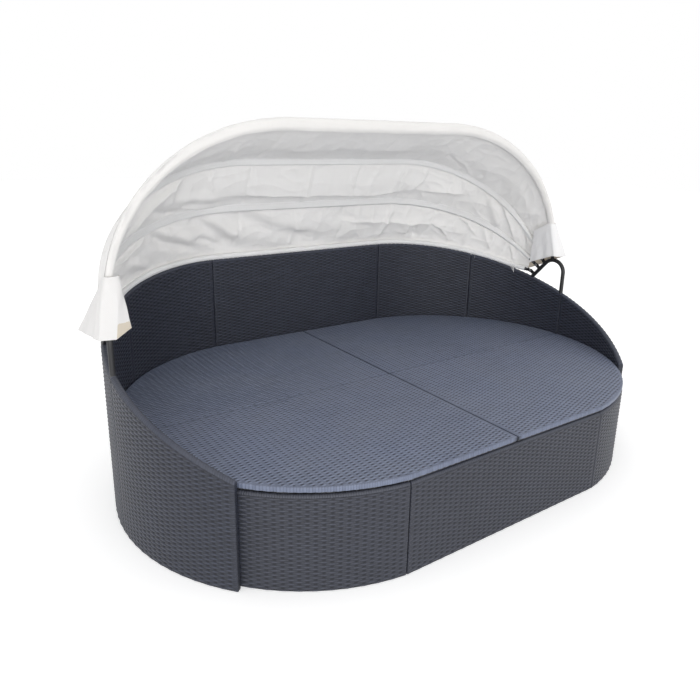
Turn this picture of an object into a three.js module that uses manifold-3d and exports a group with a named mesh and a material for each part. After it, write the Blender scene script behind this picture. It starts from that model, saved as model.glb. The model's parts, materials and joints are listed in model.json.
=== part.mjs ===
// Outdoor daybed with a fold-back canopy, in millimetres, +Z up.
// X runs along the bed (+X is the right-hand end seen from the front), +Y points to the backrest,
// and the origin lies on the floor under the middle of the bed with its backrest. While a piece is
// drawn, y is measured from the seam between the front and the rear seat panels.
import * as THREE from 'three';
import { mergeVertices } from 'three/addons/utils/BufferGeometryUtils.js';
import Module from 'manifold-3d';

const wasm = await Module();
wasm.setup();

// Plan of the bed: a rectangle with a shallow round end on each side
const SEAT_HALF_DEPTH = 670;
const FLAT_HALF_LENGTH = 441;
const END_CENTRE_INSET = 82;

// Heights above the floor
const SEAT_HEIGHT = 330;
const BACK_HEIGHT = 712;
const SHELL_TIP_HEIGHT = 346;

// Woven panels
const PANEL_THICKNESS = 22;
const WEAVE_WALL_THICKNESS = 2.5;
const EDGE_CHAMFER_LENGTH = 5;
const TOP_WRAP_THICKNESS = 6;
const LEG_HOLE_CLEARANCE = 0.8;
const SHELL_GAP = 3;
const PANEL_SEAM_GAP = 0.6;
const TOUCH_GAP = 0.3;
const MERGE_DISTANCE = 0.001;
const FRAME_BAR_WIDTH = 12;
const FRAME_POST_WIDTH = 10;
const FRAME_LIFT_HEIGHT = 3;
const CUT_OVERRUN_LENGTH = 10;
const SKIRT_LAP_LENGTH = 42;

// Seat panels and what carries them
const SEAT_THICKNESS = 20;
const SEAT_SEAM_GAP = 2;
const SEAT_SKIRT_GAP = 3;
const SEAT_SETBACK_DISTANCE = 1;
const SEAT_EDGE_RADIUS = 4;
const SLAT_WIDTH = 20;
const SLAT_SPACING = 180;
const RAIL_SIZE = 20;
const BEAM_WIDTH = 40;
const LEG_SIZE = 25;
const LEG_SPACING = 500;
const FOOT_HEIGHT = 15;
const FOOT_FLANGE_HEIGHT = 6;
const FOOT_RADIUS = 20;

// Brackets that carry the bows
const TUBE_RADIUS = 8;
const BRACKET_START_DISTANCE = 12;
const BRACKET_SPREAD_LENGTH = 160.5;
const BRACKET_RISE_HEIGHT = 146;
const BRACKET_BEND_RADIUS = 55;
const LUG_FIRST_DISTANCE = 14.5;
const LUG_SPACING = 43.5;
const LUG_REACH_LENGTH = 24;
const LUG_THICKNESS = 4;
const LUG_WIDTH = 17;
const WELD_DEPTH = 2;
const BOLT_RADIUS = 4;
const BOLT_CLEARANCE = 0.4;
const BOLT_HEAD_RADIUS = 7;
const BOLT_HEAD_HEIGHT = 4;

// Bows
const TONGUE_THICKNESS = 3;
const TONGUE_WIDTH = 16;
const TONGUE_LENGTH = 34;
const RIM_REST_GAP = 2;
const RIM_APPROACH_LENGTH = 110;
const SECOND_BOW_REACH_LENGTH = 515;
const THIRD_BOW_REACH_LENGTH = 550;
const FRONT_BOW_REACH_LENGTH = 574;
const SECOND_BOW_ANGLE = 34;
const THIRD_BOW_ANGLE = 54;
const FRONT_BOW_ANGLE = 86.4;
const BOW_ROUNDNESS_SHARE = 2.1;
const TONGUE_OVERLAP_SHARE = 0.25;

// Canopy cloth
const CLOTH_THICKNESS = 3;
const CLOTH_CLEARANCE = 1.9;
const CLOTH_SAG_DEPTH = 15;
const CLOTH_PLEAT_DEPTH = 5;
const CLOTH_START_DISTANCE = 70;
const HEM_DEPTH = 34;
const HEM_OUTER_DEPTH = 13;
const HEM_INNER_SIDE_DEPTH = 14;
const HEM_INNER_TOP_DEPTH = 36;
const HEM_BORE_CLEARANCE = 2.6;
const CUFF_TOP_WIDTH = 102;
const CUFF_FOOT_WIDTH = 182;
const CUFF_STAND_OFF_DISTANCE = 16;
const CUFF_REAR_DROP_HEIGHT = 44;
const CUFF_OUTER_FLARE_DISTANCE = 30;

// How the loose cuff hangs on each side: heights from the front bow's bolt, and flares at its foot
const CUFF_LEFT = {
  topHeight: 114,
  innerFrontHeight: -34,
  outerFrontHeight: -72,
  innerRearHeight: -45,
  outerRearHeight: -78,
  frontFlareDistance: 58,
  innerGapDistance: 9,
  innerFlareDistance: 18,
};
const CUFF_RIGHT = {
  topHeight: 154,
  innerFrontHeight: 7,
  outerFrontHeight: -2,
  innerRearHeight: -45,
  outerRearHeight: -98,
  frontFlareDistance: 36,
  innerGapDistance: 0,
  innerFlareDistance: 4,
};

// Counts and steps
const ARC_STEPS = 8;
const BOW_STEPS = 34;
const TUBE_SIDES = 8;
const CLOTH_COLUMNS = 36;
const CLOTH_ROWS = 6;
const CLOTH_PLEATS = 4.5;
const CUFF_LEAF_COLUMNS = 7;
const CUFF_FOLD_COLUMNS = 4;
const CUFF_FOLD_SQUARENESS = 3;
const SMALL_SIDES = 10;
const STRAIGHT_POSTS = 6;
const CURVED_POSTS = 4;
const BOW_COUNT = 4;
const FRONT_BOW = BOW_COUNT - 1;
const FINE_SHARE = 1 / 8;

const RAD = Math.PI / 180;
const endRadius = Math.hypot(SEAT_HALF_DEPTH, END_CENTRE_INSET);
const endCentreX = FLAT_HALF_LENGTH - END_CENTRE_INSET;
const cornerAngle = Math.atan2(SEAT_HALF_DEPTH, END_CENTRE_INSET);
const panelSweep = cornerAngle / 2;
const arcStep = panelSweep / ARC_STEPS;
const chordSag = endRadius * (1 - Math.cos(arcStep));
const bodyShift = -(SHELL_GAP + PANEL_THICKNESS) / 2;
const skirtTop = SEAT_HEIGHT - SEAT_THICKNESS - SEAT_SKIRT_GAP;
const carrierTop = SEAT_HEIGHT - SEAT_THICKNESS - TOUCH_GAP;

const colours = {
  shellWeave: { color: 0x2b2d34, roughness: 0.55, metalness: 0 },
  skirtWeave: { color: 0x3c3f48, roughness: 0.55, metalness: 0 },
  seatWeave: { color: 0x555b69, roughness: 0.5, metalness: 0 },
  steel: { color: 0x1b1c1f, roughness: 0.4, metalness: 0.3 },
  bolt: { color: 0x8a8c90, roughness: 0.35, metalness: 0.9 },
  plastic: { color: 0x151617, roughness: 0.6, metalness: 0 },
  cloth: { color: 0xe9e8e4, roughness: 0.9, metalness: 0 },
};

const daybed = new THREE.Group();
daybed.name = 'daybed';

/** Mixes two values, the second by a share. */
function mix(first, second, share) {
  return first + (second - first) * share;
}

/** Adds one named piece, moved so that the origin comes under the middle of the whole bed. */
function addPiece(name, geometry, finish) {
  geometry.translate(0, bodyShift, 0);
  const mesh = new THREE.Mesh(geometry, new THREE.MeshStandardMaterial(colours[finish]));
  mesh.name = name;
  daybed.add(mesh);
}

/** Turns a closed geometry into a solid that can be cut and joined. */
function toSolid(geometry) {
  const merged = mergeVertices(stripped(geometry), MERGE_DISTANCE);
  const vertProperties = new Float32Array(merged.attributes.position.array);
  const triVerts = new Uint32Array(merged.index.array);
  return new wasm.Manifold(new wasm.Mesh({ numProp: 3, vertProperties, triVerts }));
}

/** Turns a solid back into a geometry. */
function fromSolid(solid) {
  const mesh = solid.getMesh();
  const geometry = new THREE.BufferGeometry();
  geometry.setAttribute('position', new THREE.BufferAttribute(mesh.vertProperties, 3));
  geometry.setIndex(new THREE.BufferAttribute(mesh.triVerts, 1));
  geometry.computeVertexNormals();
  return geometry;
}

/** Joins closed rings of equal length into one closed body, with flat fans at both ends. */
function loft(rings) {
  const count = rings[0].length;
  const positions = [];
  const index = [];
  for (const ring of rings) {
    for (const point of ring) positions.push(point.x, point.y, point.z);
  }
  for (let r = 0; r + 1 < rings.length; r += 1) {
    for (let k = 0; k < count; k += 1) {
      const a = r * count + k;
      const b = r * count + ((k + 1) % count);
      index.push(a, b, b + count, a, b + count, a + count);
    }
  }
  const last = (rings.length - 1) * count;
  for (let k = 1; k + 1 < count; k += 1) {
    index.push(0, k + 1, k);
    index.push(last, last + k, last + k + 1);
  }
  const geometry = new THREE.BufferGeometry();
  geometry.setAttribute('position', new THREE.Float32BufferAttribute(positions, 3));
  geometry.setIndex(index);
  return facingOut(geometry);
}

/** Turns every face round if the body's volume comes out negative. */
function facingOut(geometry) {
  const p = geometry.attributes.position;
  const index = geometry.index.array;
  const a = new THREE.Vector3();
  const b = new THREE.Vector3();
  const c = new THREE.Vector3();
  let volume = 0;
  for (let i = 0; i < index.length; i += 3) {
    a.fromBufferAttribute(p, index[i]);
    b.fromBufferAttribute(p, index[i + 1]);
    c.fromBufferAttribute(p, index[i + 2]);
    volume += a.dot(b.cross(c));
  }
  if (volume < 0) {
    for (let i = 0; i < index.length; i += 3) {
      const swap = index[i + 1];
      index[i + 1] = index[i + 2];
      index[i + 2] = swap;
    }
  }
  geometry.computeVertexNormals();
  return geometry;
}

/** Height of the shell's rim at an angle round an end, measured from the bed's long axis. */
function rimHeight(angle) {
  const share = (angle + panelSweep) / (cornerAngle + panelSweep);
  return SHELL_TIP_HEIGHT + (BACK_HEIGHT - SHELL_TIP_HEIGHT) * Math.sin(share * Math.PI / 2);
}

/** A point on the round end, offset outward from the seat's edge. */
function endPoint(side, angle, offset, z) {
  const radius = endRadius + offset;
  return new THREE.Vector3(side * (endCentreX + radius * Math.cos(angle)), radius * Math.sin(angle), z);
}

/** A point on a round end that is made of flats, each spanning the same step of angle. */
function flatPoint(side, angle, offset, z, step) {
  const base = Math.floor(angle / step + FINE_SHARE * MERGE_DISTANCE) * step;
  const a = endPoint(side, base, offset, z);
  const b = endPoint(side, base + step, offset, z);
  return a.lerp(b, (angle - base) / step);
}

/** The angles at which a round end is cut into flats between two angles, the same for every piece. */
function arcAngles(from, to, step = arcStep) {
  const angles = [from];
  for (let k = Math.ceil(from / step + FINE_SHARE); k < to / step - FINE_SHARE; k += 1) {
    angles.push(k * step);
  }
  angles.push(to);
  return angles;
}

/** Stations along a round-end wall: each gives a point for an offset and a height, and the wall's top. */
function arcStations(side, from, to, topAt, step = arcStep) {
  return arcAngles(from, to, step).map((angle) => ({
    at: (offset, z) => flatPoint(side, angle, offset, z, step),
    top: topAt(angle),
  }));
}

/** Stations along a straight wall at the front (-1) or back (+1), mitred toward the round ends. */
function flatStations(side, from, to, top) {
  const mitre = END_CENTRE_INSET / (SEAT_HALF_DEPTH * FLAT_HALF_LENGTH);
  return [from, to].map((x) => ({
    at: (offset, z) => new THREE.Vector3(x * (1 + offset * mitre), side * (SEAT_HALF_DEPTH + offset), z),
    top,
  }));
}

/** A wall between two offsets, with chamfered top edges. */
function wall(stations, inner, outer, bottom, drop, chamfer) {
  return loft(stations.map((s) => [
    s.at(inner, bottom),
    s.at(outer, bottom),
    s.at(outer, s.top - drop - chamfer),
    s.at(outer - chamfer, s.top - drop),
    s.at(inner + chamfer, s.top - drop),
    s.at(inner, s.top - drop - chamfer),
  ]));
}

/** A plain bar that follows a wall between two offsets and two heights. */
function bar(stations, inner, outer, lowAt, highAt) {
  return loft(stations.map((s) => [
    s.at(inner, lowAt(s)),
    s.at(outer, lowAt(s)),
    s.at(outer, highAt(s)),
    s.at(inner, highAt(s)),
  ]));
}

/** A woven panel: a closed shell of weave with softened top edges, open at the bottom. */
function wovenPanel(name, run, inner, finish, cutters = []) {
  const outer = inner + PANEL_THICKNESS;
  const body = toSolid(wall(run.whole(0, arcStep), inner, outer, 0, 0, EDGE_CHAMFER_LENGTH));
  const hollow = toSolid(bar(
    run.whole(WEAVE_WALL_THICKNESS, arcStep),
    inner + WEAVE_WALL_THICKNESS,
    outer - WEAVE_WALL_THICKNESS,
    () => -CUT_OVERRUN_LENGTH,
    (s) => s.top - TOP_WRAP_THICKNESS,
  ));
  let panel = body.subtract(hollow);
  for (const cutter of cutters) panel = panel.subtract(toSolid(cutter));
  addPiece(name, fromSolid(panel), finish);
}

/** The welded steel frame inside a woven panel: rails along it and posts across it. */
function panelFrame(name, run, inner, postCount, hasMiddleRail) {
  const mid = inner + PANEL_THICKNESS / 2 + chordSag / 2;
  const low = mid - FRAME_BAR_WIDTH / 2;
  const high = mid + FRAME_BAR_WIDTH / 2;
  const inset = WEAVE_WALL_THICKNESS + TOUCH_GAP;
  const whole = run.whole(inset, arcStep * 2);
  const topOf = (s) => s.top - TOP_WRAP_THICKNESS - TOUCH_GAP;
  let frame = toSolid(bar(whole, low, high, (s) => topOf(s) - FRAME_BAR_WIDTH, topOf));
  const lowRail = [() => FRAME_LIFT_HEIGHT, () => FRAME_LIFT_HEIGHT + FRAME_BAR_WIDTH];
  frame = frame.add(toSolid(bar(whole, low, high, ...lowRail)));
  if (hasMiddleRail) {
    const seatLow = carrierTop - RAIL_SIZE / 2 - FRAME_BAR_WIDTH / 2;
    frame = frame.add(toSolid(bar(whole, low, high, () => seatLow, () => seatLow + FRAME_BAR_WIDTH)));
  }
  const shy = (FRAME_BAR_WIDTH - FRAME_POST_WIDTH) / 2;
  for (let i = 0; i < postCount; i += 1) {
    const post = run.piece(inset + shy, i / (postCount - 1), FRAME_POST_WIDTH);
    const postTop = (s) => topOf(s) - FRAME_BAR_WIDTH / 2;
    const postLow = () => FRAME_LIFT_HEIGHT + FRAME_BAR_WIDTH / 2;
    frame = frame.add(toSolid(bar(post, low + shy, high - shy, postLow, postTop)));
  }
  addPiece(name, fromSolid(frame), 'steel');
}

/** A run along a round end between two angles: the whole of it, or one short piece of it. */
function endRun(side, from, to, offset, topAt) {
  const radius = endRadius + offset;
  return {
    whole: (inset, step) => arcStations(side, from + inset / radius, to - inset / radius, topAt, step),
    piece: (inset, share, width) => {
      const room = to - from - (inset * 2 + width) / radius;
      const low = from + inset / radius + room * share;
      return postStations(side, low, low + width / radius, topAt);
    },
  };
}

/** Two stations of a frame's post, which stands on one of the frame's long flats. */
function postStations(side, from, to, topAt) {
  return [from, to].map((angle) => ({
    at: (offset, z) => flatPoint(side, angle, offset, z, arcStep * 2),
    top: Math.min(topAt(from), topAt(to)),
  }));
}

/** A run along the straight front or back, used like a run along a round end. */
function flatRun(side, top) {
  const half = FLAT_HALF_LENGTH - PANEL_SEAM_GAP / 2;
  return {
    whole: (inset) => flatStations(side, inset - half, half - inset, top),
    piece: (inset, share, width) => {
      const low = inset - half + (2 * (half - inset) - width) * share;
      return flatStations(side, low, low + width, top);
    },
  };
}

const seamAngle = PANEL_SEAM_GAP / 2 / endRadius;
const lapAngle = SKIRT_LAP_LENGTH / endRadius;
const sides = [['left', -1], ['right', 1]];

// Bracket geometry, worked out in the upright plane through its two legs
const wallMiddle = SHELL_GAP + PANEL_THICKNESS / 2;
const frontLegAngle = BRACKET_START_DISTANCE / (endRadius + wallMiddle);
const rearLegAngle = Math.asin((BRACKET_START_DISTANCE + BRACKET_SPREAD_LENGTH) / (endRadius + wallMiddle));
const frontFoot = endPoint(1, frontLegAngle, wallMiddle, rimHeight(frontLegAngle));
const rearFoot = endPoint(1, rearLegAngle, wallMiddle, rimHeight(rearLegAngle));
const bracketRun = Math.hypot(rearFoot.x - frontFoot.x, rearFoot.y - frontFoot.y);
const bracketDirection = new THREE.Vector3(rearFoot.x - frontFoot.x, rearFoot.y - frontFoot.y, 0);
bracketDirection.normalize();

/** A point of the right bracket from its distance behind the front leg and its height. */
function onBracket(along, z) {
  return new THREE.Vector3(
    frontFoot.x + bracketDirection.x * along,
    frontFoot.y + bracketDirection.y * along,
    z,
  );
}

const bendCentreZ = frontFoot.z + BRACKET_RISE_HEIGHT - BRACKET_BEND_RADIUS;
const footDistance = Math.hypot(bracketRun - BRACKET_BEND_RADIUS, rearFoot.z - bendCentreZ);
const footBearing = Math.atan2(rearFoot.z - bendCentreZ, bracketRun - BRACKET_BEND_RADIUS);
const bendEnd = footBearing + Math.acos(BRACKET_BEND_RADIUS / footDistance);
const slopeLength = Math.sqrt(footDistance ** 2 - BRACKET_BEND_RADIUS ** 2);

/** A point on the bracket's bend at an angle measured up from the direction of the rear leg. */
function onBend(angle) {
  return onBracket(
    BRACKET_BEND_RADIUS + BRACKET_BEND_RADIUS * Math.cos(angle),
    bendCentreZ + BRACKET_BEND_RADIUS * Math.sin(angle),
  );
}

const slopeDown = rearFoot.clone().sub(onBend(bendEnd)).normalize();

/** Point and outward direction on the bracket's centre line, measured up from the rear foot. */
function bracketAt(length) {
  const onSlope = length <= slopeLength;
  const normal = onSlope ? bendEnd : bendEnd + (length - slopeLength) / BRACKET_BEND_RADIUS;
  const point = onSlope ? rearFoot.clone().addScaledVector(slopeDown, -length) : onBend(normal);
  return { point, outward: new THREE.Vector3(0, Math.cos(normal), Math.sin(normal)) };
}

const lugs = Array.from({ length: BOW_COUNT }, (_, k) => {
  const { point, outward } = bracketAt(LUG_FIRST_DISTANCE + k * LUG_SPACING);
  const root = point.clone();
  root.x -= TUBE_RADIUS + LUG_THICKNESS / 2 - WELD_DEPTH;
  const pivot = root.clone().addScaledVector(outward, LUG_REACH_LENGTH);
  return { root, pivot, outward };
});
const tongueInset = (LUG_THICKNESS + TONGUE_THICKNESS) / 2 + TOUCH_GAP;

/** A round bar along the X axis, centred on a point. */
function crossCylinder(centre, radius, length, segments) {
  const geometry = new THREE.CylinderGeometry(radius, radius, length, segments);
  geometry.rotateZ(Math.PI / 2);
  geometry.translate(centre.x, centre.y, centre.z);
  return geometry;
}

/** A flat strap in a plane square to X, from one point to another, with a round far end. */
function strap(from, to, width, thickness, overrun) {
  const direction = to.clone().sub(from);
  const length = direction.length();
  const shape = new THREE.Shape();
  shape.moveTo(-overrun, -width / 2);
  shape.lineTo(length, -width / 2);
  shape.absarc(length, 0, width / 2, -Math.PI / 2, Math.PI / 2, false);
  shape.lineTo(-overrun, width / 2);
  shape.closePath();
  const geometry = new THREE.ExtrudeGeometry(shape, {
    depth: thickness,
    bevelEnabled: false,
    curveSegments: TUBE_SIDES / 2,
  });
  geometry.translate(0, 0, -thickness / 2);
  const angle = Math.atan2(direction.z, direction.y);
  const basis = new THREE.Matrix4().makeBasis(
    new THREE.Vector3(0, Math.cos(angle), Math.sin(angle)),
    new THREE.Vector3(0, -Math.sin(angle), Math.cos(angle)),
    new THREE.Vector3(1, 0, 0),
  );
  geometry.applyMatrix4(basis);
  geometry.translate((from.x + to.x) / 2, from.y, from.z);
  return geometry;
}

/** A ring of points round a centre, with a reach along each of two directions. */
function ringAround(centre, first, second, firstReach, secondReach, count) {
  const ring = [];
  for (let k = 0; k < count; k += 1) {
    const angle = (k + 1 / 2) * 2 * Math.PI / count;
    ring.push(centre.clone()
      .addScaledVector(first, firstReach * Math.cos(angle))
      .addScaledVector(second, secondReach * Math.sin(angle)));
  }
  return ring;
}

/** A round bar through a row of points, with its rings kept level to one direction. */
function roundBar(stops, radius, level, count = TUBE_SIDES) {
  const rings = stops.map((stop, i) => {
    const before = stops[Math.max(i - 1, 0)];
    const after = stops[Math.min(i + 1, stops.length - 1)];
    const tangent = after.clone().sub(stop).normalize().add(stop.clone().sub(before).normalize());
    tangent.normalize();
    const across = new THREE.Vector3().crossVectors(level, tangent).normalize();
    const upright = new THREE.Vector3().crossVectors(tangent, across);
    return ringAround(stop, upright, across, radius, radius, count);
  });
  return loft(rings);
}

/** Leaves out the stops at which a row of points runs straight on. */
function bendsOf(points) {
  return points.filter((point, i) => {
    if (i === 0 || i === points.length - 1) return true;
    const before = point.clone().sub(points[i - 1]).normalize();
    const after = points[i + 1].clone().sub(point).normalize();
    return before.angleTo(after) > MERGE_DISTANCE;
  });
}

/** Mirrors a geometry to the left-hand side. */
function toSide(geometry, side) {
  if (side > 0) return geometry;
  const mirrored = mergeVertices(stripped(geometry), MERGE_DISTANCE);
  mirrored.scale(-1, 1, 1);
  return facingOut(mirrored);
}

/** Height of the top of the frame inside the shell at an angle, on the long flats of the frame. */
function frameTopAt(angle) {
  const step = arcStep * 2;
  const base = Math.floor(angle / step) * step;
  const share = (angle - base) / step;
  const rim = rimHeight(base) * (1 - share) + rimHeight(base + step) * share;
  return rim - TOP_WRAP_THICKNESS - TOUCH_GAP;
}

const legSpan = TUBE_RADIUS / endRadius;
const frontLegEnd = onBracket(0, frameTopAt(frontLegAngle + legSpan) + TOUCH_GAP);
const rearLegLift = TUBE_RADIUS * Math.hypot(slopeDown.x, slopeDown.y);
const rearLegEndZ = frameTopAt(rearLegAngle) + TOUCH_GAP + rearLegLift;
const rearLegEnd = rearFoot.clone().addScaledVector(slopeDown, (rearLegEndZ - rearFoot.z) / slopeDown.z);
const bracketLevel = new THREE.Vector3(bracketDirection.y, -bracketDirection.x, 0);

/** The bent tube with its four welded lugs. */
function makeBracket() {
  const stops = [frontLegEnd];
  for (let i = 0; i <= ARC_STEPS; i += 1) {
    stops.push(onBend(Math.PI + (bendEnd - Math.PI) * i / ARC_STEPS));
  }
  stops.push(rearLegEnd);
  let bracket = toSolid(roundBar(stops, TUBE_RADIUS, bracketLevel));
  for (const lug of lugs) {
    bracket = bracket.add(toSolid(strap(lug.root, lug.pivot, LUG_WIDTH, LUG_THICKNESS, TUBE_RADIUS / 2)));
  }
  for (const lug of lugs) {
    const hole = crossCylinder(lug.pivot, BOLT_RADIUS + BOLT_CLEARANCE, CUT_OVERRUN_LENGTH * 2, SMALL_SIDES);
    bracket = bracket.subtract(toSolid(hole));
  }
  return fromSolid(bracket);
}

/** Cutters for the holes through which a bracket's legs pass into the shell's top edge. */
function legHoles(side) {
  const up = new THREE.Vector3(0, 0, CUT_OVERRUN_LENGTH * 2);
  const slopeUp = slopeDown.clone().multiplyScalar(-CUT_OVERRUN_LENGTH * 2);
  return [[frontLegEnd, up], [rearLegEnd, slopeUp]].map(([end, rise]) => {
    const stops = [end.clone().addScaledVector(rise, -1 / 2), end.clone().add(rise)];
    return toSide(roundBar(stops, TUBE_RADIUS + LEG_HOLE_CLEARANCE, bracketLevel), side);
  });
}

/** Centre of a bow's flattened end beside its lug. */
function tongueCentre(k) {
  const centre = lugs[k].pivot.clone();
  centre.x -= tongueInset;
  return centre;
}

const bowAngles = [null, SECOND_BOW_ANGLE, THIRD_BOW_ANGLE, FRONT_BOW_ANGLE];
const bowReaches = [null, SECOND_BOW_REACH_LENGTH, THIRD_BOW_REACH_LENGTH, FRONT_BOW_REACH_LENGTH];

/** Point of a swinging bow from its share of the way from the right pivot to the left one. */
function swingingBowPoint(k, share, spread = 0) {
  const start = tongueCentre(k);
  const arcShare = Math.min(share, 1 - share) * 2;
  const side = share <= 1 / 2 ? 1 : -1;
  const arcLength = (bowReaches[k] + start.x - endCentreX) * Math.PI / 4;
  const total = arcLength + endCentreX;
  const along = arcShare * total;
  const width = start.x - endCentreX + spread;
  const reach = bowReaches[k] + spread;
  let x;
  let s;
  if (along < arcLength) {
    const angle = along / arcLength * Math.PI / 2;
    x = endCentreX + width * Math.cos(angle) ** (2 / BOW_ROUNDNESS_SHARE);
    s = reach * Math.sin(angle) ** (2 / BOW_ROUNDNESS_SHARE);
  } else {
    x = total - along;
    s = reach;
  }
  const tilt = bowAngles[k] * RAD;
  return new THREE.Vector3(side * x, start.y + s * Math.cos(tilt), start.z + s * Math.sin(tilt));
}

/** Point of the rear bow, which lies along the shell's rim behind its brackets. */
function rearBowPoint(share, spread = 0) {
  const start = tongueCentre(0);
  const arcShare = Math.min(share, 1 - share) * 2;
  const side = share <= 1 / 2 ? 1 : -1;
  const startAngle = Math.asin(start.y / (endRadius + wallMiddle));
  const arcLength = (cornerAngle - startAngle) * (endRadius + wallMiddle);
  const along = arcShare * (arcLength + FLAT_HALF_LENGTH);
  if (along >= arcLength) {
    const x = FLAT_HALF_LENGTH + arcLength - along;
    const z = BACK_HEIGHT + TUBE_RADIUS + RIM_REST_GAP;
    return new THREE.Vector3(side * x, SEAT_HALF_DEPTH + wallMiddle + spread, z + spread / 2);
  }
  const angle = startAngle + along / (endRadius + wallMiddle);
  const onRim = endPoint(1, angle, wallMiddle + spread, rimHeight(angle) + TUBE_RADIUS + RIM_REST_GAP);
  onRim.z += spread / 2;
  const free = THREE.MathUtils.smoothstep(along, 0, RIM_APPROACH_LENGTH);
  const offset = new THREE.Vector3(start.x, start.y, start.z);
  offset.sub(endPoint(1, startAngle, wallMiddle, rimHeight(startAngle) + TUBE_RADIUS + RIM_REST_GAP));
  onRim.addScaledVector(offset, 1 - free);
  onRim.x *= side;
  return onRim;
}

/** Point of any bow, counted from the rear. */
function bowPoint(k, share, spread = 0) {
  return k === 0 ? rearBowPoint(share, spread) : swingingBowPoint(k, share, spread);
}

/** The share of a bow's run at which it has come a given distance from its pivot. */
function shareAt(k, distance) {
  const origin = bowPoint(k, 0);
  let share = 0;
  while (bowPoint(k, share).distanceTo(origin) < distance) share += FINE_SHARE / BOW_STEPS;
  return share;
}

/** A bow: a bent tube whose flattened ends carry the bolt holes. */
function makeBow(k) {
  const start = shareAt(k, TONGUE_LENGTH / 2);
  const points = [];
  for (let i = 0; i <= BOW_STEPS; i += 1) {
    points.push(bowPoint(k, start + (1 - 2 * start) * i / BOW_STEPS));
  }
  let bow = toSolid(roundBar(bendsOf(points), TUBE_RADIUS, outOfBow(k)));
  const pivot = tongueCentre(k);
  const end = points[0].clone().lerp(points[1], TONGUE_OVERLAP_SHARE);
  end.x = pivot.x;
  const tongue = strap(end, pivot, TONGUE_WIDTH, TONGUE_THICKNESS, 0);
  const hole = crossCylinder(pivot, BOLT_RADIUS + BOLT_CLEARANCE, CUT_OVERRUN_LENGTH * 2, SMALL_SIDES);
  for (const side of [1, -1]) {
    bow = bow.add(toSolid(toSide(tongue, side))).subtract(toSolid(toSide(hole, side)));
  }
  return fromSolid(bow);
}

/** Direction square to a bow's plane. */
function outOfBow(k) {
  if (k === 0) return new THREE.Vector3(0, 0, 1);
  const tilt = bowAngles[k] * RAD;
  return new THREE.Vector3(0, -Math.sin(tilt), Math.cos(tilt));
}

/** The bolt through a lug and a bow's end, with its head outside and its nut inside. */
function makeBolt(k) {
  const lugX = lugs[k].pivot.x;
  const headInner = lugX + LUG_THICKNESS / 2 + TOUCH_GAP;
  const nutInner = lugX - tongueInset - TONGUE_THICKNESS / 2 - TOUCH_GAP;
  const profile = [
    [0, headInner + BOLT_HEAD_HEIGHT],
    [BOLT_HEAD_RADIUS, headInner + BOLT_HEAD_HEIGHT],
    [BOLT_HEAD_RADIUS, headInner],
    [BOLT_RADIUS, headInner],
    [BOLT_RADIUS, nutInner],
    [BOLT_HEAD_RADIUS, nutInner],
    [BOLT_HEAD_RADIUS, nutInner - BOLT_HEAD_HEIGHT],
    [0, nutInner - BOLT_HEAD_HEIGHT],
  ].map(([radius, x]) => new THREE.Vector2(radius, x));
  const geometry = new THREE.LatheGeometry(profile, TUBE_SIDES);
  geometry.rotateZ(-Math.PI / 2);
  geometry.translate(0, lugs[k].pivot.y, lugs[k].pivot.z);
  return facingOut(mergeVertices(stripped(geometry), MERGE_DISTANCE));
}

/** A copy of a geometry with positions only. */
function stripped(geometry) {
  const bare = geometry.clone();
  bare.deleteAttribute('normal');
  bare.deleteAttribute('uv');
  return bare;
}

/** A thin closed sheet over a grid of middle points, thickened along each point's own direction. */
function sheet(columns, rows, middleAt, directionAt, thickness) {
  const positions = [];
  for (const side of [1, -1]) {
    for (let c = 0; c <= columns; c += 1) {
      for (let r = 0; r <= rows; r += 1) {
        const u = c / columns;
        const v = r / rows;
        const point = middleAt(u, v).addScaledVector(directionAt(u, v), side * thickness / 2);
        positions.push(point.x, point.y, point.z);
      }
    }
  }
  const across = rows + 1;
  const under = (columns + 1) * across;
  const index = [];
  const quad = (a, b, c, d) => index.push(a, b, c, a, c, d);
  for (let c = 0; c < columns; c += 1) {
    for (let r = 0; r < rows; r += 1) {
      const a = c * across + r;
      quad(a, a + across, a + across + 1, a + 1);
      quad(under + a, under + a + 1, under + a + across + 1, under + a + across);
    }
    const low = c * across;
    const high = low + rows;
    quad(low, under + low, under + low + across, low + across);
    quad(high, high + across, under + high + across, under + high);
  }
  for (let r = 0; r < rows; r += 1) {
    const end = columns * across + r;
    quad(r, r + 1, under + r + 1, under + r);
    quad(end, under + end, under + end + 1, end + 1);
  }
  const geometry = new THREE.BufferGeometry();
  geometry.setAttribute('position', new THREE.Float32BufferAttribute(positions, 3));
  geometry.setIndex(index);
  return facingOut(geometry);
}

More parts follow.
